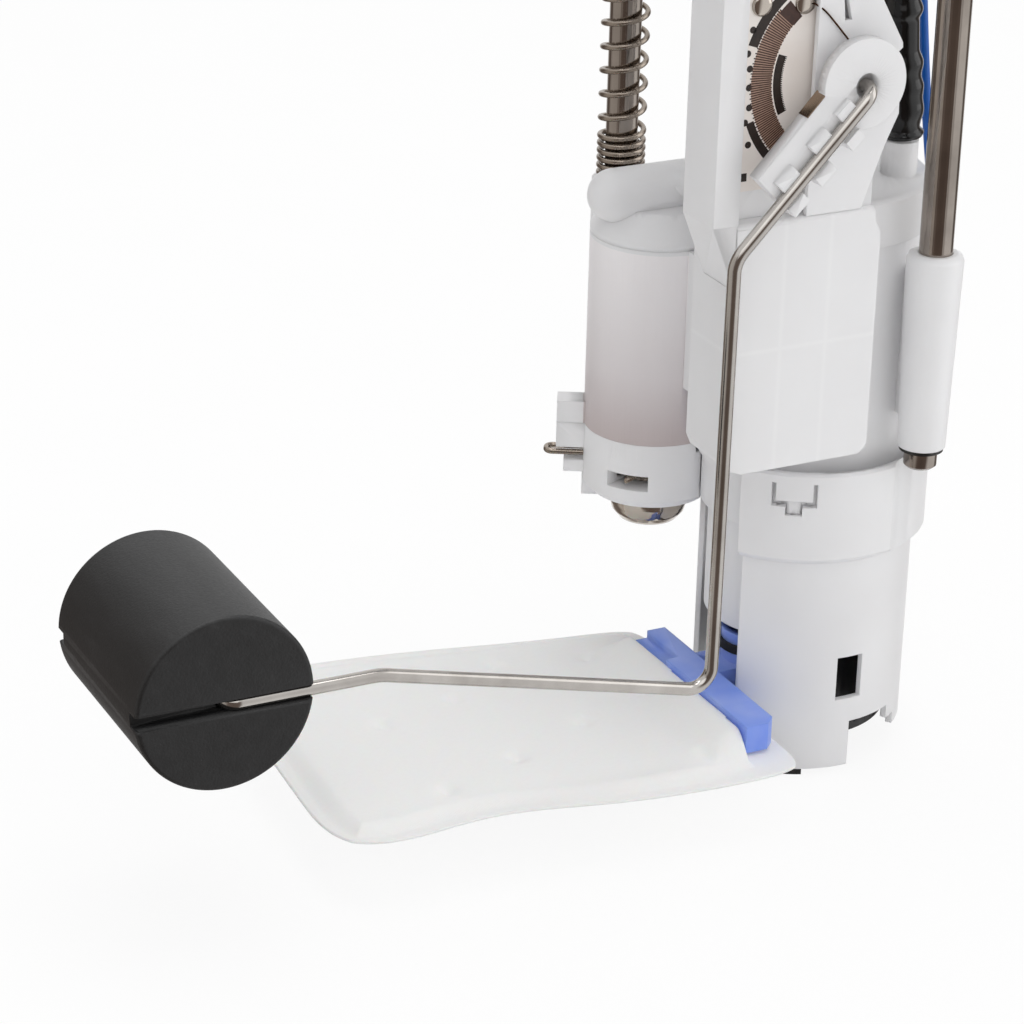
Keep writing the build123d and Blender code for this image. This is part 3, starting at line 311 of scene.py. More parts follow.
def strainer_mesh(name):
    """Felted polyester strainer cloth: white and soft. Its weave of about 0.6 mm is as coarse as it shows."""
    material, tree, shader, _ = surface(name)
    cloth = add(tree, "UVMap", uv_map="plan").outputs["UV"]
    axes = add(tree, "SeparateXYZ", {"Vector": cloth})
    warp = maths(tree, "SINE", maths(tree, "MULTIPLY", axes.outputs["X"], math.tau / WEAVE_PITCH))
    weft = maths(tree, "SINE", maths(tree, "MULTIPLY", axes.outputs["Y"], math.tau / WEAVE_PITCH))
    weave = maths(tree, "MULTIPLY", warp, weft)
    fibre = add(tree, "TexNoise", {"Vector": cloth, "Scale": 0.9, "Detail": 5.0}).outputs["Fac"]
    height = maths(tree, "ADD", weave, fibre)
    sockets(shader, {
        "Base Color": ramp(tree, fibre, [(0.3, "F9F9F8"), (0.7, "FBFBFA")]),
        "Roughness": 0.78,
        "Sheen Weight": 0.15,
        "Sheen Roughness": 0.5,
        "Subsurface Weight": 0.15,
        "Subsurface Scale": 0.0015,
        "Normal": relief(tree, height, 0.009),
    })
    return material


def alumina_card(name):
    """Fired alumina substrate: matt, off-white, with a faint warm cloud."""
    material, tree, shader, place = surface(name)
    sockets(shader, {
        "Base Color": ramp(tree, grain(tree, place, 14.0), [(0.3, "EFE6DF"), (0.7, "F6F0EB")]),
        "Roughness": 0.5,
        "Normal": relief(tree, grain(tree, place, 0.3), 0.006, 0.1),
    })
    return material


def thick_film(name, colour, second):
    """Fired thick-film paste: an even, slightly glossy print with a speckle from its screen."""
    material, tree, shader, place = surface(name)
    sockets(shader, {
        "Base Color": ramp(tree, grain(tree, place, 0.9), [(0.3, colour), (0.7, second)]),
        "Roughness": 0.42,
        "Normal": relief(tree, grain(tree, place, 0.4), 0.01),
    })
    return material


# ---- shapes
def step(low, high, value):
    """0 below low, 1 above high, and 3t^2 - 2t^3 between."""
    t = np.clip((value - low) / (high - low), 0, 1)
    return t * t * (3 - 2 * t)


def ring_faces(rows, columns, close_rows, close_columns):
    """Quad indices of a rows by columns grid of points: each cell joins its point to the next in both
    directions, wrapping round where the grid closes."""
    row = np.arange(rows if close_rows else rows - 1)[:, None]
    column = np.arange(columns if close_columns else columns - 1)[None, :]
    here, beyond = row * columns, (row + 1) % rows * columns
    beside = (column + 1) % columns
    quads = np.stack([here + column, beyond + column, beyond + beside, here + beside], axis=-1)
    return quads.reshape(-1, 4)


def linked(name, data):
    """A new object of the scene that holds the given mesh, curve, lamp or camera."""
    built = bpy.data.objects.new(name, data)
    bpy.context.scene.collection.objects.link(built)
    return built


def grid_object(name, points, close_rows=False, close_columns=False, uv=None, uv_name="arc", cap=False):
    """A mesh from a (rows, columns, 3) array of points in millimetres. cap closes both open ends, each with
    a fan about its middle."""
    rows, columns = points.shape[:2]
    coords = points.reshape(-1, 3) * MM
    faces = ring_faces(rows, columns, close_rows, close_columns).tolist()
    if cap:
        ends = np.stack([points[0].mean(axis=0), points[-1].mean(axis=0)]) * MM
        coords = np.vstack([coords, ends])
        first, last = rows * columns, rows * columns + 1
        column = np.arange(columns)
        beside = (column + 1) % columns
        low = np.stack([np.full(columns, first), beside, column], axis=-1)
        top = (rows - 1) * columns
        high = np.stack([np.full(columns, last), top + column, top + beside], axis=-1)
        faces += low.tolist() + high.tolist()
    mesh = bpy.data.meshes.new(name)
    mesh.from_pydata(coords.tolist(), [], faces)
    if uv is not None:
        layer = mesh.uv_layers.new(name=uv_name)
        corners = np.empty(len(mesh.loops), np.int32)
        mesh.loops.foreach_get("vertex_index", corners)
        flat = uv.reshape(-1, 2)
        flat = np.vstack([flat, np.zeros((len(coords) - len(flat), 2))])
        layer.data.foreach_set("uv", flat[corners].ravel())
    mesh.shade_smooth()
    outward(mesh)
    return linked(name, mesh)


def bar_object(name, points):
    """A solid bar from rows of points, each row a closed section of it."""
    return grid_object(name, points, close_columns=True, cap=True)


def outward(mesh, merge_mm=0.0):
    """Merges points closer than merge_mm and turns every face outwards."""
    work = bmesh.new()
    work.from_mesh(mesh)
    if merge_mm:
        bmesh.ops.remove_doubles(work, verts=work.verts, dist=merge_mm * MM)
    bmesh.ops.recalc_face_normals(work, faces=work.faces)
    work.to_mesh(mesh)
    work.free()


def carried(path, section, aside):
    """A closed section carried along a path. path is (n, 3) and section (n or 1, m, 2) as (side, up) offsets.
    Side is the path's direction crossed with the aside vector, and up is side crossed with the direction."""
    path = np.asarray(path, float)
    direction = np.gradient(path, axis=0)
    direction /= np.linalg.norm(direction, axis=1, keepdims=True)
    side = np.cross(direction, np.asarray(aside, float))
    side /= np.linalg.norm(side, axis=1, keepdims=True)
    up = np.cross(side, direction)
    return path[:, None, :] + section[..., :1] * side[:, None, :] + section[..., 1:] * up[:, None, :]


def round_section(radius, count):
    """A circle of the given radius, or one circle per radius, as (side, up) offsets."""
    angle = np.linspace(0, math.tau, count, endpoint=False)
    circle = np.stack([np.cos(angle), np.sin(angle)], axis=-1)
    return np.atleast_1d(radius)[:, None, None] * circle[None]


def turned(name, profile, at, count):
    """A profile of (radius, height) turned about a line through at. The height runs along it, towards -Y."""
    profile = np.asarray(profile, float)
    angle = np.linspace(0, math.tau, count, endpoint=False)
    x = profile[:, :1] * np.cos(angle)
    z = profile[:, :1] * np.sin(angle)
    height = np.repeat(profile[:, 1:], count, axis=1)
    points = np.stack([x, -height, z], axis=-1) + np.asarray(at, float)
    return bar_object(name, points)


def arc_patch(name, centre, radii, degrees, y, steps):
    """A flat arc of print on the card: a slab between two radii and two angles in the XZ plane, its front
    at y."""
    angle = np.radians(np.linspace(degrees[0], degrees[1], steps))[:, None]
    inner, outer = radii
    back = y + PRINT_THICK
    corners = np.array([(inner, back), (inner, y), (outer, y), (outer, back)])
    radius = corners[None, :, 0]
    depth = np.repeat(corners[None, :, 1], steps, 0)
    x = centre[0] + radius * np.cos(angle)
    z = centre[1] + radius * np.sin(angle)
    built = bar_object(name, np.stack([x, depth, z], axis=-1))
    built.data.shade_flat()
    return built


def spoke_fan(name, centre, inner, outer, degrees, wide, y):
    """Thin radial bars in the XZ plane: each bar is a box whose four sides run from its inner to its outer
    radius along its angle, half its width to each side. inner and outer hold one radius per bar."""
    angle = np.radians(np.linspace(degrees[0], degrees[1], len(inner)))
    along = np.stack([np.cos(angle), np.zeros_like(angle), np.sin(angle)], axis=-1)
    aside = np.stack([-np.sin(angle), np.zeros_like(angle), np.cos(angle)], axis=-1) * wide / 2
    middle = np.array([centre[0], y, centre[1]], float)
    back = np.array([0, PRINT_THICK, 0], float)
    ends = [middle + along * radius[:, None] for radius in (np.asarray(inner), np.asarray(outer))]
    around = [end + side * aside + deep * back for end in ends for side, deep in CORNER_SIGNS]
    corners = np.stack(around, axis=1)
    start = np.arange(len(inner))[:, None] * 8
    faces = [start + np.array(face) for face in BAR_FACES]
    quads = np.stack(faces, axis=1).reshape(-1, 4)
    mesh = bpy.data.meshes.new(name)
    mesh.from_pydata((corners.reshape(-1, 3) * MM).tolist(), [], quads.tolist())
    outward(mesh)
    return linked(name, mesh)


CORNER_SIGNS = ((-1, 0), (1, 0), (1, 1), (-1, 1))
BAR_FACES = ((0, 1, 2, 3), (4, 5, 6, 7), (0, 1, 5, 4), (1, 2, 6, 5), (2, 3, 7, 6), (3, 0, 4, 7))


def nurbs_line(route_mm, steps=64):
    """The smooth line of a route, as points in millimetres: a NURBS spline of order 3 that starts and ends on
    the route's ends and has the route's points, in metres, as its control points."""
    data = bpy.data.curves.new("route", "CURVE")
    data.dimensions = "3D"
    data.resolution_u = steps
    spline = data.splines.new("NURBS")
    spline.points.add(len(route_mm) - 1)
    for point, place in zip(spline.points, route_mm):
        point.co = (*(value * MM for value in place), 1.0)
    spline.order_u = 3
    spline.use_endpoint_u = True
    holder = linked("route", data)
    line = bpy.data.meshes.new_from_object(holder)
    points = np.empty(len(line.vertices) * 3)
    line.vertices.foreach_get("co", points)
    bpy.data.objects.remove(holder)
    bpy.data.curves.remove(data)
    bpy.data.meshes.remove(line)
    return points.reshape(-1, 3) / MM


def join(name, pieces):
    """Several meshes made one object."""
    chosen = {"active_object": pieces[0], "selected_editable_objects": pieces, "selected_objects": pieces}
    with bpy.context.temp_override(**chosen):
        bpy.ops.object.join()
    pieces[0].name = name
    return pieces[0]


def finish_piece(piece, finish, body=None, node=None):
    """Gives a piece its finish and body, and hides the node it stands for."""
    piece.data.materials.clear()
    piece.data.materials.append(finish_of(finish))
    if node:
        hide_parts(node)
    if body:
        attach(piece, body)
    return piece


def body_of(node):
    """The body that a node rides on."""
    bodies = frame["record"]["behaviour"]["bodies"]
    return next(body for body, members in bodies.items() if node in members)


def slot_of(node):
    """The record's material slot of a node."""
    return next(s["material_slot"] for s in frame["record"]["subparts"] if s["node"] == node)


SAME_PLACE = 0.002
SLAB_EDGE_DEGREES = 40.0
SKIN_EDGE_DEGREES = 28.0


def dressed(node, finish):
    """A node's own shape, its loose triangles merged and shaded smooth up to an edge angle."""
    source = frame["nodes"][node]
    mesh = bpy.data.meshes.new(node + "_skin")
    work = bmesh.new()
    work.from_mesh(source.data)
    bmesh.ops.remove_doubles(work, verts=work.verts, dist=SAME_PLACE * MM)
    work.to_mesh(mesh)
    work.free()
    mesh.shade_smooth()
    mesh.set_sharp_from_angle(angle=math.radians(SKIN_EDGE_DEGREES))
    built = linked(node + "_skin", mesh)
    flatten = built.modifiers.new("flat_faces", "WEIGHTED_NORMAL")
    flatten.keep_sharp = True
    return finish_piece(built, finish, body_of(node), node)


# ---- the object's own sizes, millimetres
ROD_B = (-14.7, 47.8)
SPRING_EASE = 3.0
SPRING_RADIUS = 5.4
SPRING_WIRE = 0.7
SPRING_ENDS = (-132.3, -16.7)
CLOSED_PITCH = 1.9
CLOSED_COILS = 6
OPEN_PITCH = 6.0
HOSE_LOW = (27.4, -14.0, -112.0)
HOSE_HIGH = (19.5, -14.0, -22.0)
HOSE_ENDS_Z = (-108.9, -14.0)
HOSE_BORE = 3.6
# the hose's uneven lower swells: heights above its lower end, and its radius there
HOSE_FORM = (
    *((0.0, 4.6), (0.8, 4.95), (2.1, 4.05), (6.6, 5.0), (9.4, 4.75), (12.2, 5.0)),
    *((14.8, 4.45), (18.0, 4.95), (21.4, 4.05), (28.4, 4.1), (31.0, 4.95), (34.0, 4.2)),
)
# the even swells above it: heights and radii of the first one
HOSE_REPEAT = ((37.5, 4.9), (41.0, 4.2))
HOSE_PLAIN_TOP = 10
CUFF_RADIUS = 4.7
CUFF_LENGTH = 7.0
CUFF_NECK = (8.0, 4.2)
LEADS = {
    "pump_lead_live": ("blue_wire", 1.2, [((38.0, 6.0, -8.0), (32.0, -7.0, -74.0), (40.9, -8.0, -128.0))]),
    "pump_lead_ground": ("black_wire", 1.2, [((20.0, 6.0, -8.0), (12.0, 30.0, -62.0), (10.0, 17.0, -114.0))]),
    "sender_leads": (
        "black_wire",
        0.8,
        [
            ((26.0, 6.0, -8.0), (-6.0, -16.0, -28.0), (-26.0, -31.0, -50.0)),
            ((32.0, 6.0, -8.0), (2.0, -20.0, -26.0), (-16.0, -31.0, -50.0)),
        ],
    ),
}
SOCK_CORNERS = {
    "front_right": (-13.5, -54.0),
    "front_left": (-131.5, -48.0),
    "back_left": (-125.0, 48.0),
    "back_right": (-15.5, 30.0),
}
SOCK_WELDS = (
    *((-104, 27), (-98, 4), (-76.5, 10), (-76, -24), (-53, -14)),
    *((-33, -9), (-98, -32), (-34, -41.5), (-60, 22), (-36, 16)),
)
WELD_RADIUS = 2.4
WELD_DEPTH = 0.75
BAG_GRID = (300, 210)
# half the bag's length and width, from which a point's distance to the nearest edge is taken
BAG_HALF = (55.0, 45.0)
# distances from the edge between which the rim rises to the crown, and half the rim's thickness
BAG_RIM = (2.2, 7.2)
RIM_HALF = 0.35
# the front edge's bow: how deep, where along X, and how wide
BOW = (5.0, -93.0, 25.0)
# the flat corner begins between these X, and between these distances in front of the middle
FLAP_X = (-40, -28)
FLAP_FRONT = (38, 46)
SOCK_MIDDLE_Z = -249.6
STRIP_FOOT_X = -25.2
STRIP_ENDS_Y = (-44.0, 12.3)
STRIP_FOOT_Z = -248.2
SOCK_AT_STRIP_Z = -242.4
PUMP = (11.0, -3.0)
TONGUE_STEPS = 40
TONGUE_RADII = (27.9, 29.4)
TONGUE_DEGREES = (-136.0, -111.0)
TONGUE_Z = (-196.0, -186.0)
HUB = (-5.0, -83.9)
CARD_FRONT = -37.2
COMB_BARS = 66
COMB_DEGREES = (137.0, 226.0)
COMB_RADII = (18.8, 24.0)
COMB_BAR_WIDE = 0.3
CARD_PAD = ((18.6, 23.6), (129.5, 138))
CARD_BAR = ((16.4, 18.4), (160, 205))
CARD_TEETH = (30, 16.1, 18.0, (160.3, 204.7), 0.22)
TRACK_HIGH = ((24.3, 26.8), (100, 160))
TRACK_LOW = ((24.4, 26.4), (200, 227))
PRINT_THICK = 0.05
PRINT_PROUD = 0.03
DOT_RADII = (0.02, 0.8)
CARD_DOTS = (
    *((-29.2, -71.4), (-30.2, -76.7), (-29.5, -80.2), (-29.5, -84.5)),
    *((-29.2, -89.1), (-30.1, -92.5), (-29.0, -97.7)),
)
SQUARE_RADII = (0.02, 1.35)
CARD_SQUARE = (-29.9, -105.2)
RIVETS = ((-27.3, -66.0), (-16.3, -66.6))
RIVET_RADIUS = 2.5
RIVET_RIM = 0.35
RIVET_DOME = 0.85
RIVET_SHANK = [(1.2, -3.0), (1.2, 0.05)]
FEED_ROUTE = ((-14.6, -37.7, -66.6), (-13.8, -40.5, -67.0), (-10.4, -40.5, -70.6), (-5.4, -40.5, -76.4))
FEED_RADIUS = 0.22
BLADE_THICK = 0.24
BLADE_WIDE = 3.8
BLADE_ROUTE = ((-15.10, -44.4, -85.19), (-17.14, -44.4, -87.40), (-19.52, -44.4, -89.97))
FLOOR_Z = -266.6
CAMERA_PLACE = (-398.871, -656.898, 130.464)


def colour_property(name, description, default):
    """A colour as it looks, in sRGB."""
    return bpy.props.FloatVectorProperty(
        name=name, description=description, subtype="COLOR_GAMMA", size=3, min=0, max=1, default=default
    )


def angle_property(name, description, degrees):
    """An angle, stored in radians."""
    return bpy.props.FloatProperty(
        name=name, description=description, default=math.radians(degrees), unit="ROTATION", subtype="ANGLE"
    )


def length_property(name, description, millimetres, least, most):
    """A length, stored in metres, with its limits in millimetres."""
    limits = {"default": millimetres * MM, "min": least * MM, "max": most * MM}
    return bpy.props.FloatProperty(name=name, description=description, unit="LENGTH", **limits)


class ModuleColours(bpy.types.PropertyGroup):
    """Colours of the module's main finishes."""

    acetal: colour_property("Acetal", "The white mouldings", (0.957, 0.957, 0.961))
    frame_blue: colour_property("Strainer frame", "The strainer's blue frame", (0.45, 0.58, 0.94))
    lead_blue: colour_property("Live lead", "Insulation of the pump's live lead", (0.035, 0.36, 0.72))


class ModuleSizes(bpy.types.PropertyGroup):
    """Sizes of the pieces made here, and the camera's view."""

    sock_loft: length_property("Strainer loft", "Thickness of the strainer bag at its middle", 4.4, 1, 10)
    hose_swell: length_property("Hose swell", "Spacing of the hose's upper swells", 7.0, 4, 20)
    lens: bpy.props.FloatProperty(
        name="Lens", description="Focal length", default=118.805, min=20, max=400, unit="CAMERA"
    )
    heading: angle_property("Heading", "Turn of the view from straight along +Y", 26.822)
    elevation: angle_property("Elevation", "Height of the view above level", 23.8746)
    roll: angle_property("Roll", "Turn of the camera about its own view", 1.3625)


class BuildBase:
    """What every operator of the module shares."""

    bl_options = {"REGISTER", "UNDO"}

    def execute(self, context):
        self.build(context.scene.module_sizes)
        return {"FINISHED"}


CANISTER = (-16.0, 24.5)
CANISTER_RADIUS = 16.9
CANISTER_ENDS = (-188.9, -140.0)
COVER_RIBS = ((-19.5, -7.5), (-146.5,))
COVER_RIB_HALF = 0.9
# each finish's material name, two colours, grain stretch, roughness, grain size and edge softening
STEELS = {
    "tinned_brass": ("tinned_brass", "C9BEA0", "B5AA90"),
    "ground_steel": ("ground_stainless_steel", "A49B93", "8F8780", LENGTHWISE, (0.1, 0.17), 0.18, 0.1),
    "spring_steel": ("drawn_spring_steel", "A2978C", "8D8379", EVERY_WAY, (0.2, 0.34), 0.4),
    "plated_steel": ("bright_plated_steel", "C3BBB2", "B2A99F", EVERY_WAY, (0.06, 0.14), 1.2, 0.2),
    "copper": ("turned_copper", "C98A62", "A8714F"),
    "arm_steel": ("drawn_stainless_wire", "BDB9B4", "A8A39E", EVERY_WAY, (0.1, 0.2), 0.5),
    "enamelled_wire": ("enamelled_copper_wire", "5E4033", "452E25"),
    "spring_bronze": ("phosphor_bronze_strip", "A3917F", "8A7868", EVERY_WAY, (0.2, 0.3), 1.0),
}
# each finish's material name, two colours, roughness and edge softening
PLASTICS = {
    "black_rubber": ("nitrile_rubber", "161617", "202021", (0.6, 0.75)),
    "black_steel": ("phosphated_spring_steel", "171513", "2A2724", (0.35, 0.5), 0.1),
    "black_wire": ("black_wire_insulation", "0E0E10", "151517", (0.3, 0.4), 0.1),
    "filter_paper": ("resin_filter_paper", "BDAE8C", "CFC2A4", (0.8, 0.9), 0.1),
    "black_moulding": ("glass_filled_nylon", "0D0D0F", "18181A", (0.35, 0.5)),
    "carbon": ("pressed_carbon", "202022", "2C2C2E", (0.5, 0.7)),
    "ferrite": ("sintered_ferrite", "26262A", "323237", (0.4, 0.6)),
}
FILMS = {
    "ink": ("thick_film_ink", "1C120E", "2B1C15"),
    "comb_ground": ("resistor_paste", "A18270", "B0917E"),
    "comb_bars": ("conductor_paste", "38201A", "462A1F"),
}
FINISHES = {
    "white_acetal": lambda c: natural_acetal("natural_acetal", hex_of(c.acetal)),
    "filter_acetal": lambda c: acetal_over_filter(
        "acetal_over_filter", hex_of(c.acetal), CANISTER, CANISTER_RADIUS, *CANISTER_ENDS
    ),
    "ribbed_acetal": lambda c: ribbed_acetal("ribbed_acetal", hex_of(c.acetal), *COVER_RIBS, COVER_RIB_HALF),
    "black_hose": lambda c: glossy_rubber("glossy_rubber_hose", "070708"),
    "blue_wire": lambda c: moulded_plastic(
        "blue_wire_insulation", hex_of(c.lead_blue), "0A59B1", (0.3, 0.4), 0.1
    ),
    "blue_moulding": lambda c: clear_blue("blue_polypropylene", hex_of(c.frame_blue)),
    "strainer_mesh": lambda c: strainer_mesh("polyester_strainer_cloth"),
    "ceramic_card": lambda c: alumina_card("fired_alumina"),
    "float_foam": lambda c: float_foam("closed_cell_foam"),
}
MADE = {}
SPECIAL_FINISH = {"carrier_body": "filter_acetal", "front_box_cover": "ribbed_acetal"}
MADE_ELSEWHERE = {"rod_spring", "fuel_hose", "strainer_sock", "card_rivets", "wiper_feed_wire", *LEADS}


def finish_of(key):
    """The material of a finish, made the first time that it is asked for."""
    if key not in MADE:
        if key in FINISHES:
            MADE[key] = FINISHES[key](bpy.context.scene.module_colours)
        for maker, table in ((bare_steel, STEELS), (moulded_plastic, PLASTICS), (thick_film, FILMS)):
            if key in table:
                MADE[key] = maker(*table[key])
    return MADE[key]


class MODULE_OT_skins(BuildBase, bpy.types.Operator):
    """Gives every rigid piece of the frame a smooth skin and its finish"""

    bl_idname = "module.skins"
    bl_label = "Rigid pieces"

    def build(self, sizes):
        for node in sorted(set(frame["nodes"]) - MADE_ELSEWHERE):
            dressed(node, SPECIAL_FINISH.get(node, slot_of(node)))


class MODULE_OT_spring(BuildBase, bpy.types.Operator):
    """Winds the rod's compression spring"""

    bl_idname = "module.spring"
    bl_label = "Rod spring"

    def build(self, sizes):
        """The wire's centre runs on a cylinder: its height rises one pitch per turn, and the pitch eases from
        closed coils to open ones and back, so the turn at a height is the sum of height over pitch so far."""
        z = np.linspace(SPRING_ENDS[0], SPRING_ENDS[1], 2600)
        closed = CLOSED_PITCH * CLOSED_COILS
        near_end = np.minimum(z - SPRING_ENDS[0], SPRING_ENDS[1] - z)
        ease = step(closed - SPRING_EASE / 2, closed + SPRING_EASE / 2, near_end)
        pitch = CLOSED_PITCH + (OPEN_PITCH - CLOSED_PITCH) * ease
        turns = np.cumsum(np.diff(z) / (0.5 * (pitch[1:] + pitch[:-1])))
        turn = np.concatenate([[0], turns]) * math.tau
        even = np.linspace(0, turn[-1], 1000)
        x = ROD_B[0] + SPRING_RADIUS * np.cos(even)
        y = ROD_B[1] + SPRING_RADIUS * np.sin(even)
        path = np.stack([x, y, np.interp(even, turn, z)], axis=-1)
        points = carried(path, round_section(SPRING_WIRE, 14), (0, 0, 1))
        spring = bar_object("rod_spring_wire", points)
        finish_piece(spring, "spring_steel", None, "rod_spring")
        x, y = (value * MM for value in ROD_B)
        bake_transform(spring)


class MODULE_OT_hose(BuildBase, bpy.types.Operator):
    """Forms the swelling fuel hose"""

    bl_idname = "module.hose"
    bl_label = "Fuel hose"

    def build(self, sizes):
        """A tube turned about the hose's straight axis: its outer radius passes from each named height to the
        next on half a cosine wave, and the inside runs back down the bore, so the wall is closed."""
        low, high = np.array(HOSE_LOW), np.array(HOSE_HIGH)
        slope = (high - low) / (high[2] - low[2])
        start, end = (low + slope * (z - low[2]) for z in HOSE_ENDS_Z)
        length = np.linalg.norm(end - start)
        unit = (end - start) / length
        form = list(HOSE_FORM)
        swell = sizes.hose_swell / MM
        repeats = int((length - form[-1][0] - HOSE_PLAIN_TOP) / swell)
        for number in range(repeats):
            form += [(at + number * swell, radius) for at, radius in HOSE_REPEAT]
        form += [(length - CUFF_NECK[0], CUFF_NECK[1])]
        form += [(length - CUFF_LENGTH, CUFF_RADIUS), (length, CUFF_RADIUS)]
        heights, radii = np.array(form).T
        run = np.linspace(0, length, 560)
        index = np.clip(np.searchsorted(heights, run, side="right") - 1, 0, len(heights) - 2)
        share = np.clip((run - heights[index]) / (heights[index + 1] - heights[index]), 0, 1)
        wave = 0.5 - 0.5 * np.cos(math.pi * share)
        radius = radii[index] + (radii[index + 1] - radii[index]) * wave
        centre = start + unit * run[:, None]
        side = np.cross(unit, (0, 1, 0))
        up = np.cross(side, unit)
        circle = round_section(np.concatenate([radius, np.full(len(run), HOSE_BORE)]), 48)
        path = np.vstack([centre, centre[::-1]])
        points = path[:, None, :] + circle[..., :1] * side + circle[..., 1:] * up
        hose = grid_object("fuel_hose_tube", points, close_rows=True, close_columns=True)
        finish_piece(hose, "black_hose", None, "fuel_hose")
        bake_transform(hose)


class MODULE_OT_leads(BuildBase, bpy.types.Operator):
    """Runs the four leads from the flange connector to their terminals"""

    bl_idname = "module.leads"
    bl_label = "Leads"

    def build(self, sizes):
        """Each lead is a circle carried along the smooth NURBS line of its route."""
        for node, (finish, radius, routes) in LEADS.items():
            for number, route in enumerate(routes):
                line = nurbs_line(route)
                points = carried(line, round_section(radius, 20), (0, 1, 0.2))
                lead = bar_object(f"{node}_wire_{number}", points)
                finish_piece(lead, finish, None, node)
                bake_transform(lead)


class MODULE_OT_strainer_bag(BuildBase, bpy.types.Operator):
    """Sews the strainer's cloth bag"""

    bl_idname = "module.strainer_bag"
    bl_label = "Strainer bag"

    def build(self, sizes):
        """Two sheets over one plan patch. The patch blends the four corners in both directions, drawn in
        where both directions near an edge, which rounds the corners, most at the free front one. A soft bow
        draws in the front edge. The height is a flat crown inside a thin welded rim, less a dimple at each
        spot weld, with a slow ripple, and the right front corner lies flat. The top sheet climbs to the
        frame's strip along its free side and passes flat under it."""
        rows, columns = (np.linspace(-1, 1, count) for count in BAG_GRID)
        across, along = np.meshgrid(rows, columns, indexing="ij")
        free = step(0.0, 0.8, -across) * step(0.0, 0.8, -along)
        power = 14 - 7 * free
        u = (across * (1 - (0.035 + 0.05 * free) * np.abs(along) ** power) + 1) / 2
        v = (along * (1 - (0.05 + 0.07 * free) * np.abs(across) ** power) + 1) / 2
        u, v = u[..., None], v[..., None]
        corner = {key: np.array(value, float) for key, value in SOCK_CORNERS.items()}
        left = corner["front_left"] * (1 - v) + corner["back_left"] * v
        right = corner["front_right"] * (1 - v) + corner["back_right"] * v
        plan = left * (1 - u) + right * u
        x, y = plan[..., 0], plan[..., 1]
        bow_depth, bow_x, bow_wide = BOW
        y = y + bow_depth * np.exp(-(((x - bow_x) / bow_wide) ** 2)) * step(-0.2, 1.0, -along)
        edge = np.minimum((1 - np.abs(across)) * BAG_HALF[0], (1 - np.abs(along)) * BAG_HALF[1])
        crown = step(*BAG_RIM, edge)
        loft = 1 - step(*FLAP_X, x) * step(*FLAP_FRONT, -y)
        half = RIM_HALF + (sizes.sock_loft / MM / 2 - RIM_HALF) * crown * loft
        ripple = 0.28 * np.sin(x / 9.0 + 0.6 * np.sin(y / 13.0)) + 0.2 * np.sin(y / 7.5 + x / 31.0)
        weld = np.zeros_like(x)
        for weld_x, weld_y in SOCK_WELDS:
            away = (x - weld_x) ** 2 + (y - weld_y) ** 2
            weld = np.maximum(weld, np.exp(-away / WELD_RADIUS**2))
        middle = SOCK_MIDDLE_Z + 0.5 * crown * ripple + 0.45 * np.sin(x / 15.0 + 0.8) * (1 - crown)
        top = middle + half * (1 - WELD_DEPTH * weld)
        bottom = middle - half * (1 - WELD_DEPTH * weld)
        front, back = STRIP_ENDS_Y
        beside = step(front - 5, front + 4, y) * step(-back - 9, -back, -y)
        rise = step(STRIP_FOOT_X - 17, STRIP_FOOT_X - 0.5, x) ** 1.6
        climb = rise * (x < STRIP_FOOT_X) * beside
        top = top + (SOCK_AT_STRIP_Z - top) * climb
        under = (x >= STRIP_FOOT_X) * (x < STRIP_FOOT_X + 10) * (beside > 0.02)
        top = np.where(under, np.minimum(top, STRIP_FOOT_Z), top)
        uv = np.stack([x, y], axis=-1)
        low, high = (np.stack([x, y, z], axis=-1) for z in (bottom, top))
        sheets = [grid_object("bag_sheet", sheet, uv=uv, uv_name="plan") for sheet in (low, high)]
        border = [(slice(0, -1), 0), (-1, slice(0, -1)), (slice(-1, 0, -1), -1), (0, slice(-1, 0, -1))]
        low_rim, high_rim, uv_rim = (np.vstack([grid[key] for key in border]) for grid in (low, high, uv))
        hem = np.stack([low_rim, high_rim], 1)
        hem_uv = np.stack([uv_rim, uv_rim], 1)
        rim = grid_object("bag_rim", hem, close_rows=True, uv=hem_uv, uv_name="plan")
        bag = join("strainer_bag", [*sheets, rim])
        outward(bag.data, 0.001)
        finish_piece(bag, "strainer_mesh", "carrier", "strainer_sock")


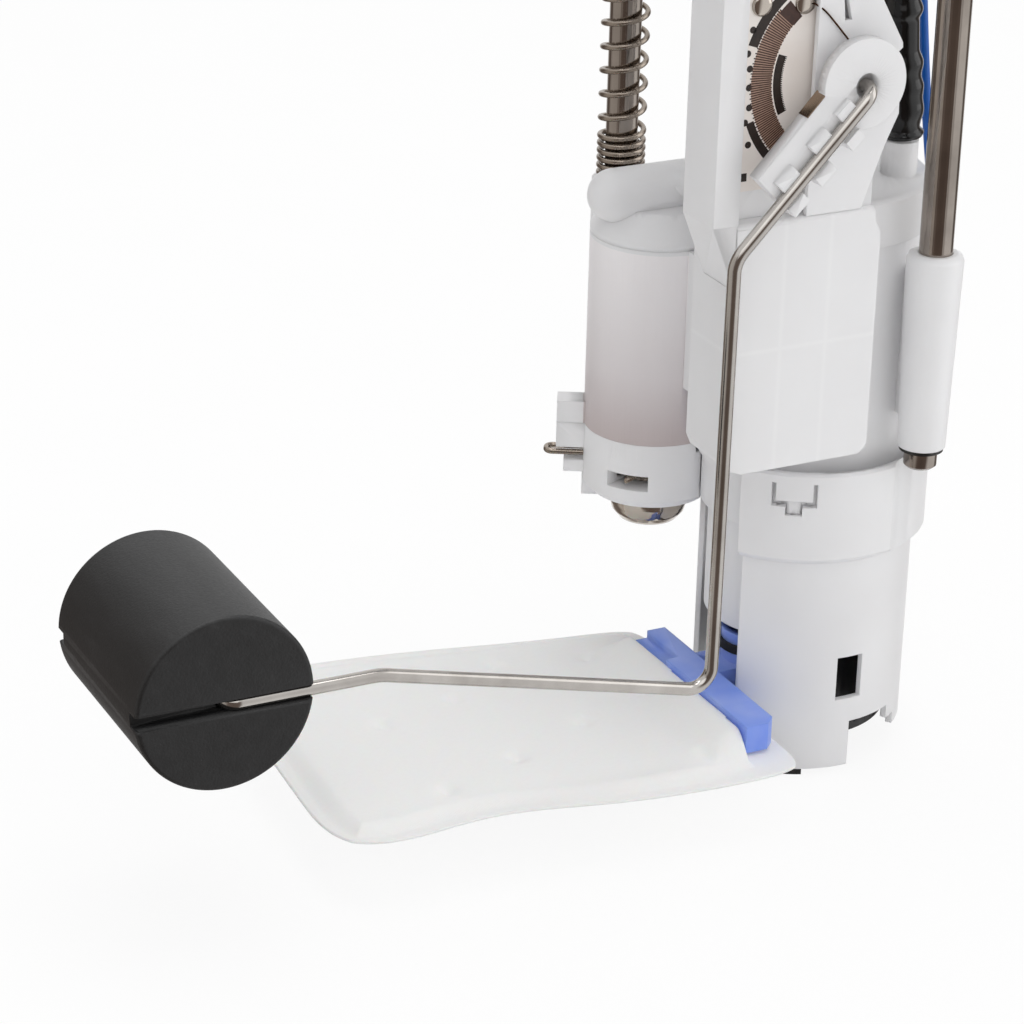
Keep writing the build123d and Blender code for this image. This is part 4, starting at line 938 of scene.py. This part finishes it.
class MODULE_OT_card_print(BuildBase, bpy.types.Operator):
    """Prints the resistor card and sets its rivets, its feed wire and the wiper's blade"""

    bl_idname = "module.card_print"
    bl_label = "Card print"

    def build(self, sizes):
        """Arcs and bars of print lie on the card. A rivet's head is a dome: its height falls from the middle
        as the root of one less the squared share of the radius."""
        y = CARD_FRONT - PRINT_PROUD
        ground = arc_patch("card_comb_ground", HUB, COMB_RADII, COMB_DEGREES, y, 160)
        odd = np.arange(COMB_BARS) % 2
        inner = COMB_RADII[0] - 0.1 + 0.25 * odd
        outer = COMB_RADII[1] + 0.1 + 0.3 * odd
        spokes = (inner, outer, COMB_DEGREES, COMB_BAR_WIDE)
        bars = spoke_fan("card_comb_bars", HUB, *spokes, y - 0.015)
        pad = arc_patch("card_pad", HUB, *CARD_PAD, y - 0.02, 20)
        count, inner, outer, degrees, wide = CARD_TEETH
        teeth = ([inner] * count, [outer] * count, degrees, wide)
        arcs = [
            arc_patch("card_bar", HUB, *CARD_BAR, y, 60),
            spoke_fan("card_bar_teeth", HUB, *teeth, y - 0.005),
            arc_patch("card_track_high", HUB, *TRACK_HIGH, y, 60),
            arc_patch("card_track_low", HUB, *TRACK_LOW, y, 40),
        ]
        for number, place in enumerate(CARD_DOTS):
            arcs.append(arc_patch(f"card_dot_{number}", place, DOT_RADII, (0, 360), y, 24))
        arcs.append(arc_patch("card_square", CARD_SQUARE, SQUARE_RADII, (45, 405), y, 5))
        tracks = join("card_tracks", arcs)
        for piece, key in ((ground, "comb_ground"), (bars, "comb_bars"), (pad, "comb_bars"), (tracks, "ink")):
            finish_piece(piece, key, "carrier")
        heads = []
        ring = np.linspace(RIVET_RADIUS, 0.05, 14)
        dome = RIVET_RIM + RIVET_DOME * np.sqrt(np.clip(1 - (ring / RIVET_RADIUS) ** 2, 0, None))
        profile = np.vstack([[(RIVET_RADIUS, 0.0)], np.stack([ring, dome], axis=-1)])
        for number, (x, z) in enumerate(RIVETS):
            heads.append(turned(f"rivet_{number}", profile, (x, CARD_FRONT, z), 40))
            heads.append(turned(f"rivet_shank_{number}", RIVET_SHANK, (x, CARD_FRONT, z), 24))
        rivets = join("card_rivet_heads", heads)
        finish_piece(rivets, "plated_steel", "carrier", "card_rivets")
        points = carried(nurbs_line(FEED_ROUTE), round_section(FEED_RADIUS, 12), (0, 1, 0.1))
        feed = bar_object("feed_wire", points)
        finish_piece(feed, "enamelled_wire", "carrier", "wiper_feed_wire")
        flat = np.array([[(-1, -1), (1, -1), (1, 1), (-1, 1)]]) * (BLADE_THICK / 2, BLADE_WIDE / 2)
        points = carried(nurbs_line(BLADE_ROUTE), flat, (0, 1, 0))
        blade = bar_object("wiper_blade", points)
        blade.data.set_sharp_from_angle(angle=math.radians(SLAB_EDGE_DEGREES))
        finish_piece(blade, "spring_bronze", "float_arm")


class MODULE_OT_cup_tongue(BuildBase, bpy.types.Operator):
    """Sets the carrier's latch tongue behind the cup's window"""

    bl_idname = "module.cup_tongue"
    bl_label = "Cup tongue"

    def build(self, sizes):
        """A curved slab about the pump's line: two radii by two heights, carried round through an angle."""
        angle = np.radians(np.linspace(*TONGUE_DEGREES, TONGUE_STEPS))[:, None]
        inner, outer = TONGUE_RADII
        low, high = TONGUE_Z
        radius = np.array([[inner, outer, outer, inner]])
        height = np.repeat(np.array([[low, low, high, high]]), TONGUE_STEPS, 0)
        x = PUMP[0] + radius * np.cos(angle)
        y = PUMP[1] + radius * np.sin(angle)
        points = np.stack([x, y, height], axis=-1)
        tongue = bar_object("cup_tongue", points)
        tongue.data.set_sharp_from_angle(angle=math.radians(SLAB_EDGE_DEGREES))
        finish_piece(tongue, "white_acetal", "carrier")


class MODULE_OT_stage(BuildBase, bpy.types.Operator):
    """Sets the floor, the surroundings, the studio light and the camera"""

    bl_idname = "module.stage"
    bl_label = "Stage and camera"

    def lamp(self, name, size, power, place, in_gloss):
        """A soft box: its size in metres, its power in watts, where it stands, and whether gloss shows it."""
        data = bpy.data.lights.new(name, "AREA")
        data.shape, data.size, data.size_y = "RECTANGLE", size[0], size[1]
        data.energy = power
        lamp = linked(name, data)
        lamp.location = place
        lamp.rotation_euler = (Vector(LIT_POINT) - Vector(place)).to_track_quat("-Z", "Y").to_euler()
        lamp.visible_glossy = in_gloss

    def surroundings(self, level, ahead):
        """An even light for matt surfaces, pure white behind the object, and for gloss a studio: the white
        backdrop ahead, a strip light to each side, a white ceiling and a dim room round the camera."""
        world = bpy.data.worlds.new("studio")
        world.use_nodes = True
        tree = world.node_tree
        tree.nodes.clear()
        path = add(tree, "LightPath")
        way = add(tree, "TexCoord").outputs["Generated"]
        to_right = add(tree, "VectorMath", {0: way, 1: level}, operation="DOT_PRODUCT")
        onward = add(tree, "VectorMath", {0: way, 1: ahead}, operation="DOT_PRODUCT")
        turn = maths(tree, "ARCTAN2", to_right.outputs["Value"], onward.outputs["Value"])
        round_about = maths(tree, "ADD", maths(tree, "DIVIDE", turn, math.tau), 0.5)
        height = add(tree, "SeparateXYZ", {"Vector": way}).outputs["Z"]
        span = {"Value": height, "From Min": CEILING_FROM[0], "From Max": CEILING_FROM[1]}
        overhead = add(tree, "MapRange", span, interpolation_type="SMOOTHSTEP").outputs["Result"]
        room = mixed(tree, overhead, ramp(tree, round_about, STUDIO_ROUND), "FFFFFF")
        gloss = add(tree, "Background", {"Color": room})
        even = add(tree, "Background", {"Color": linear("F8F8F8"), "Strength": EVEN_LIGHT})
        white = add(tree, "Background", {"Color": linear("FFFFFF")})
        in_gloss = path.outputs["Is Glossy Ray"]
        matt = add(tree, "MixShader", {0: in_gloss, 1: even.outputs[0], 2: gloss.outputs[0]})
        seen = maths(tree, "MAXIMUM", path.outputs["Is Camera Ray"], path.outputs["Is Transmission Ray"])
        both = add(tree, "MixShader", {0: seen, 1: matt.outputs[0], 2: white.outputs[0]})
        add(tree, "OutputWorld", {"Surface": both.outputs[0]})
        bpy.context.scene.world = world

    def floor(self):
        """A round sheet of white paper: rings of points at growing radii about the origin, nearly closed in
        the middle. The camera sees it glow, its shadows kept, and gloss sees through it to the studio."""
        angle = np.linspace(0, math.tau, 96, endpoint=False)
        radius = np.array(FLOOR_RINGS)[:, None]
        level = np.full((len(FLOOR_RINGS), len(angle)), FLOOR_Z)
        points = np.stack([radius * np.cos(angle), radius * np.sin(angle), level], axis=-1)
        floor = grid_object("studio_floor", points, close_columns=True)
        material, tree, shader, place = surface("seamless_paper")
        tone = ramp(tree, grain(tree, place, 40.0), [(0.3, "F4F4F4"), (0.7, "F8F8F8")])
        sockets(shader, {"Base Color": tone, "Roughness": 0.8})
        path = add(tree, "LightPath")
        seen = maths(tree, "MULTIPLY", path.outputs["Is Camera Ray"], FLOOR_GLOW)
        glow = add(tree, "Emission", {"Color": linear("FFFFFF")})
        paper = add(tree, "MixShader", {0: seen, 1: shader.outputs[0], 2: glow.outputs[0]})
        clear = add(tree, "BsdfTransparent")
        in_gloss = path.outputs["Is Glossy Ray"]
        both = add(tree, "MixShader", {0: in_gloss, 1: paper.outputs[0], 2: clear.outputs[0]})
        output = next(n for n in tree.nodes if n.type == "OUTPUT_MATERIAL")
        tree.links.new(both.outputs[0], output.inputs["Surface"])
        floor.data.materials.append(material)

    def build(self, sizes):
        scene = bpy.context.scene
        scene.view_settings.view_transform = "Standard"
        heading, elevation, roll = sizes.heading, sizes.elevation, sizes.roll
        ahead = Vector((math.sin(heading), math.cos(heading), 0))
        level = Vector((math.cos(heading), -math.sin(heading), 0))
        forward = ahead * math.cos(elevation) - Vector((0, 0, math.sin(elevation)))
        self.surroundings(level, ahead)
        self.floor()
        for lamp in LAMPS:
            self.lamp(*lamp)
        rise = level.cross(forward)
        right = level * math.cos(roll) + rise * math.sin(roll)
        up = rise * math.cos(roll) - level * math.sin(roll)
        data = bpy.data.cameras.new("studio_camera")
        data.sensor_width, data.lens = 36.0, sizes.lens
        data.clip_start, data.clip_end = 0.05, 20
        camera = linked("studio_camera", data)
        turned_to = Matrix((right, up, -forward)).transposed().to_4x4()
        camera.matrix_world = Matrix.Translation(Vector(CAMERA_PLACE) * MM) @ turned_to
        scene.camera = camera


EVEN_LIGHT = 0.58
FLOOR_GLOW = 0.9
FLOOR_RINGS = (0.5, 400.0, 1200.0, 3000.0)
# how far a direction points up where the studio's white ceiling begins and where it is full
CEILING_FROM = (0.35, 0.6)
# the studio's brightness round the horizon, from behind the camera by its left, the backdrop and its right
STUDIO_ROUND = [
    *((0.00, "6E625B"), (0.07, "7A6D66"), (0.11, "C8C3BE"), (0.26, "D4CFCA"), (0.31, "7A706A")),
    *((0.40, "8A807A"), (0.43, "FFFFFF"), (0.57, "FFFFFF"), (0.61, "8A807A"), (0.67, "6A605A")),
    *((0.71, "FFFFFF"), (0.86, "FFFFFF"), (0.91, "7A6D66"), (1.00, "6E625B")),
]
LIT_POINT = (-0.03, 0, -0.13)
# each lamp's name, size, power, place, and whether gloss shows it
LAMPS = [
    ("key", (1.1, 1.1), 2.5, (-0.55, -1.0, 0.8), True),
    ("front", (1.5, 0.8), 1.0, (0.15, -1.3, 0.05), False),
    ("right", (0.8, 1.2), 2.5, (1.0, -0.4, 0.3), True),
    ("top", (1.6, 1.4), 20.0, (0.1, 0.15, 2.0), True),
]


class MODULE_PT_panel(bpy.types.Panel):
    """The module's pieces and properties."""

    bl_idname = "MODULE_PT_panel"
    bl_label = "Fuel pump module"
    bl_space_type = "VIEW_3D"
    bl_region_type = "UI"
    bl_category = "Pump Module"

    def draw(self, context):
        for group in (context.scene.module_colours, context.scene.module_sizes):
            for key in group.__annotations__:
                self.layout.prop(group, key)
        for operator in OPERATORS:
            self.layout.operator(operator.bl_idname)


OPERATORS = [
    MODULE_OT_stage,
    MODULE_OT_leads,
    MODULE_OT_hose,
    MODULE_OT_skins,
    MODULE_OT_spring,
    MODULE_OT_strainer_bag,
    MODULE_OT_card_print,
    MODULE_OT_cup_tongue,
]
CLASSES = [ModuleColours, ModuleSizes, *OPERATORS, MODULE_PT_panel]


def register():
    for cls in CLASSES:
        bpy.utils.register_class(cls)
    bpy.types.Scene.module_colours = bpy.props.PointerProperty(type=ModuleColours)
    bpy.types.Scene.module_sizes = bpy.props.PointerProperty(type=ModuleSizes)


def unregister():
    del bpy.types.Scene.module_sizes
    del bpy.types.Scene.module_colours
    for cls in reversed(CLASSES):
        bpy.utils.unregister_class(cls)


def main():
    """Registers the add-on and builds every piece in order."""
    register()
    for operator in OPERATORS:
        getattr(bpy.ops.module, operator.bl_idname.split(".")[1])()


if __name__ == "__main__":
    main()
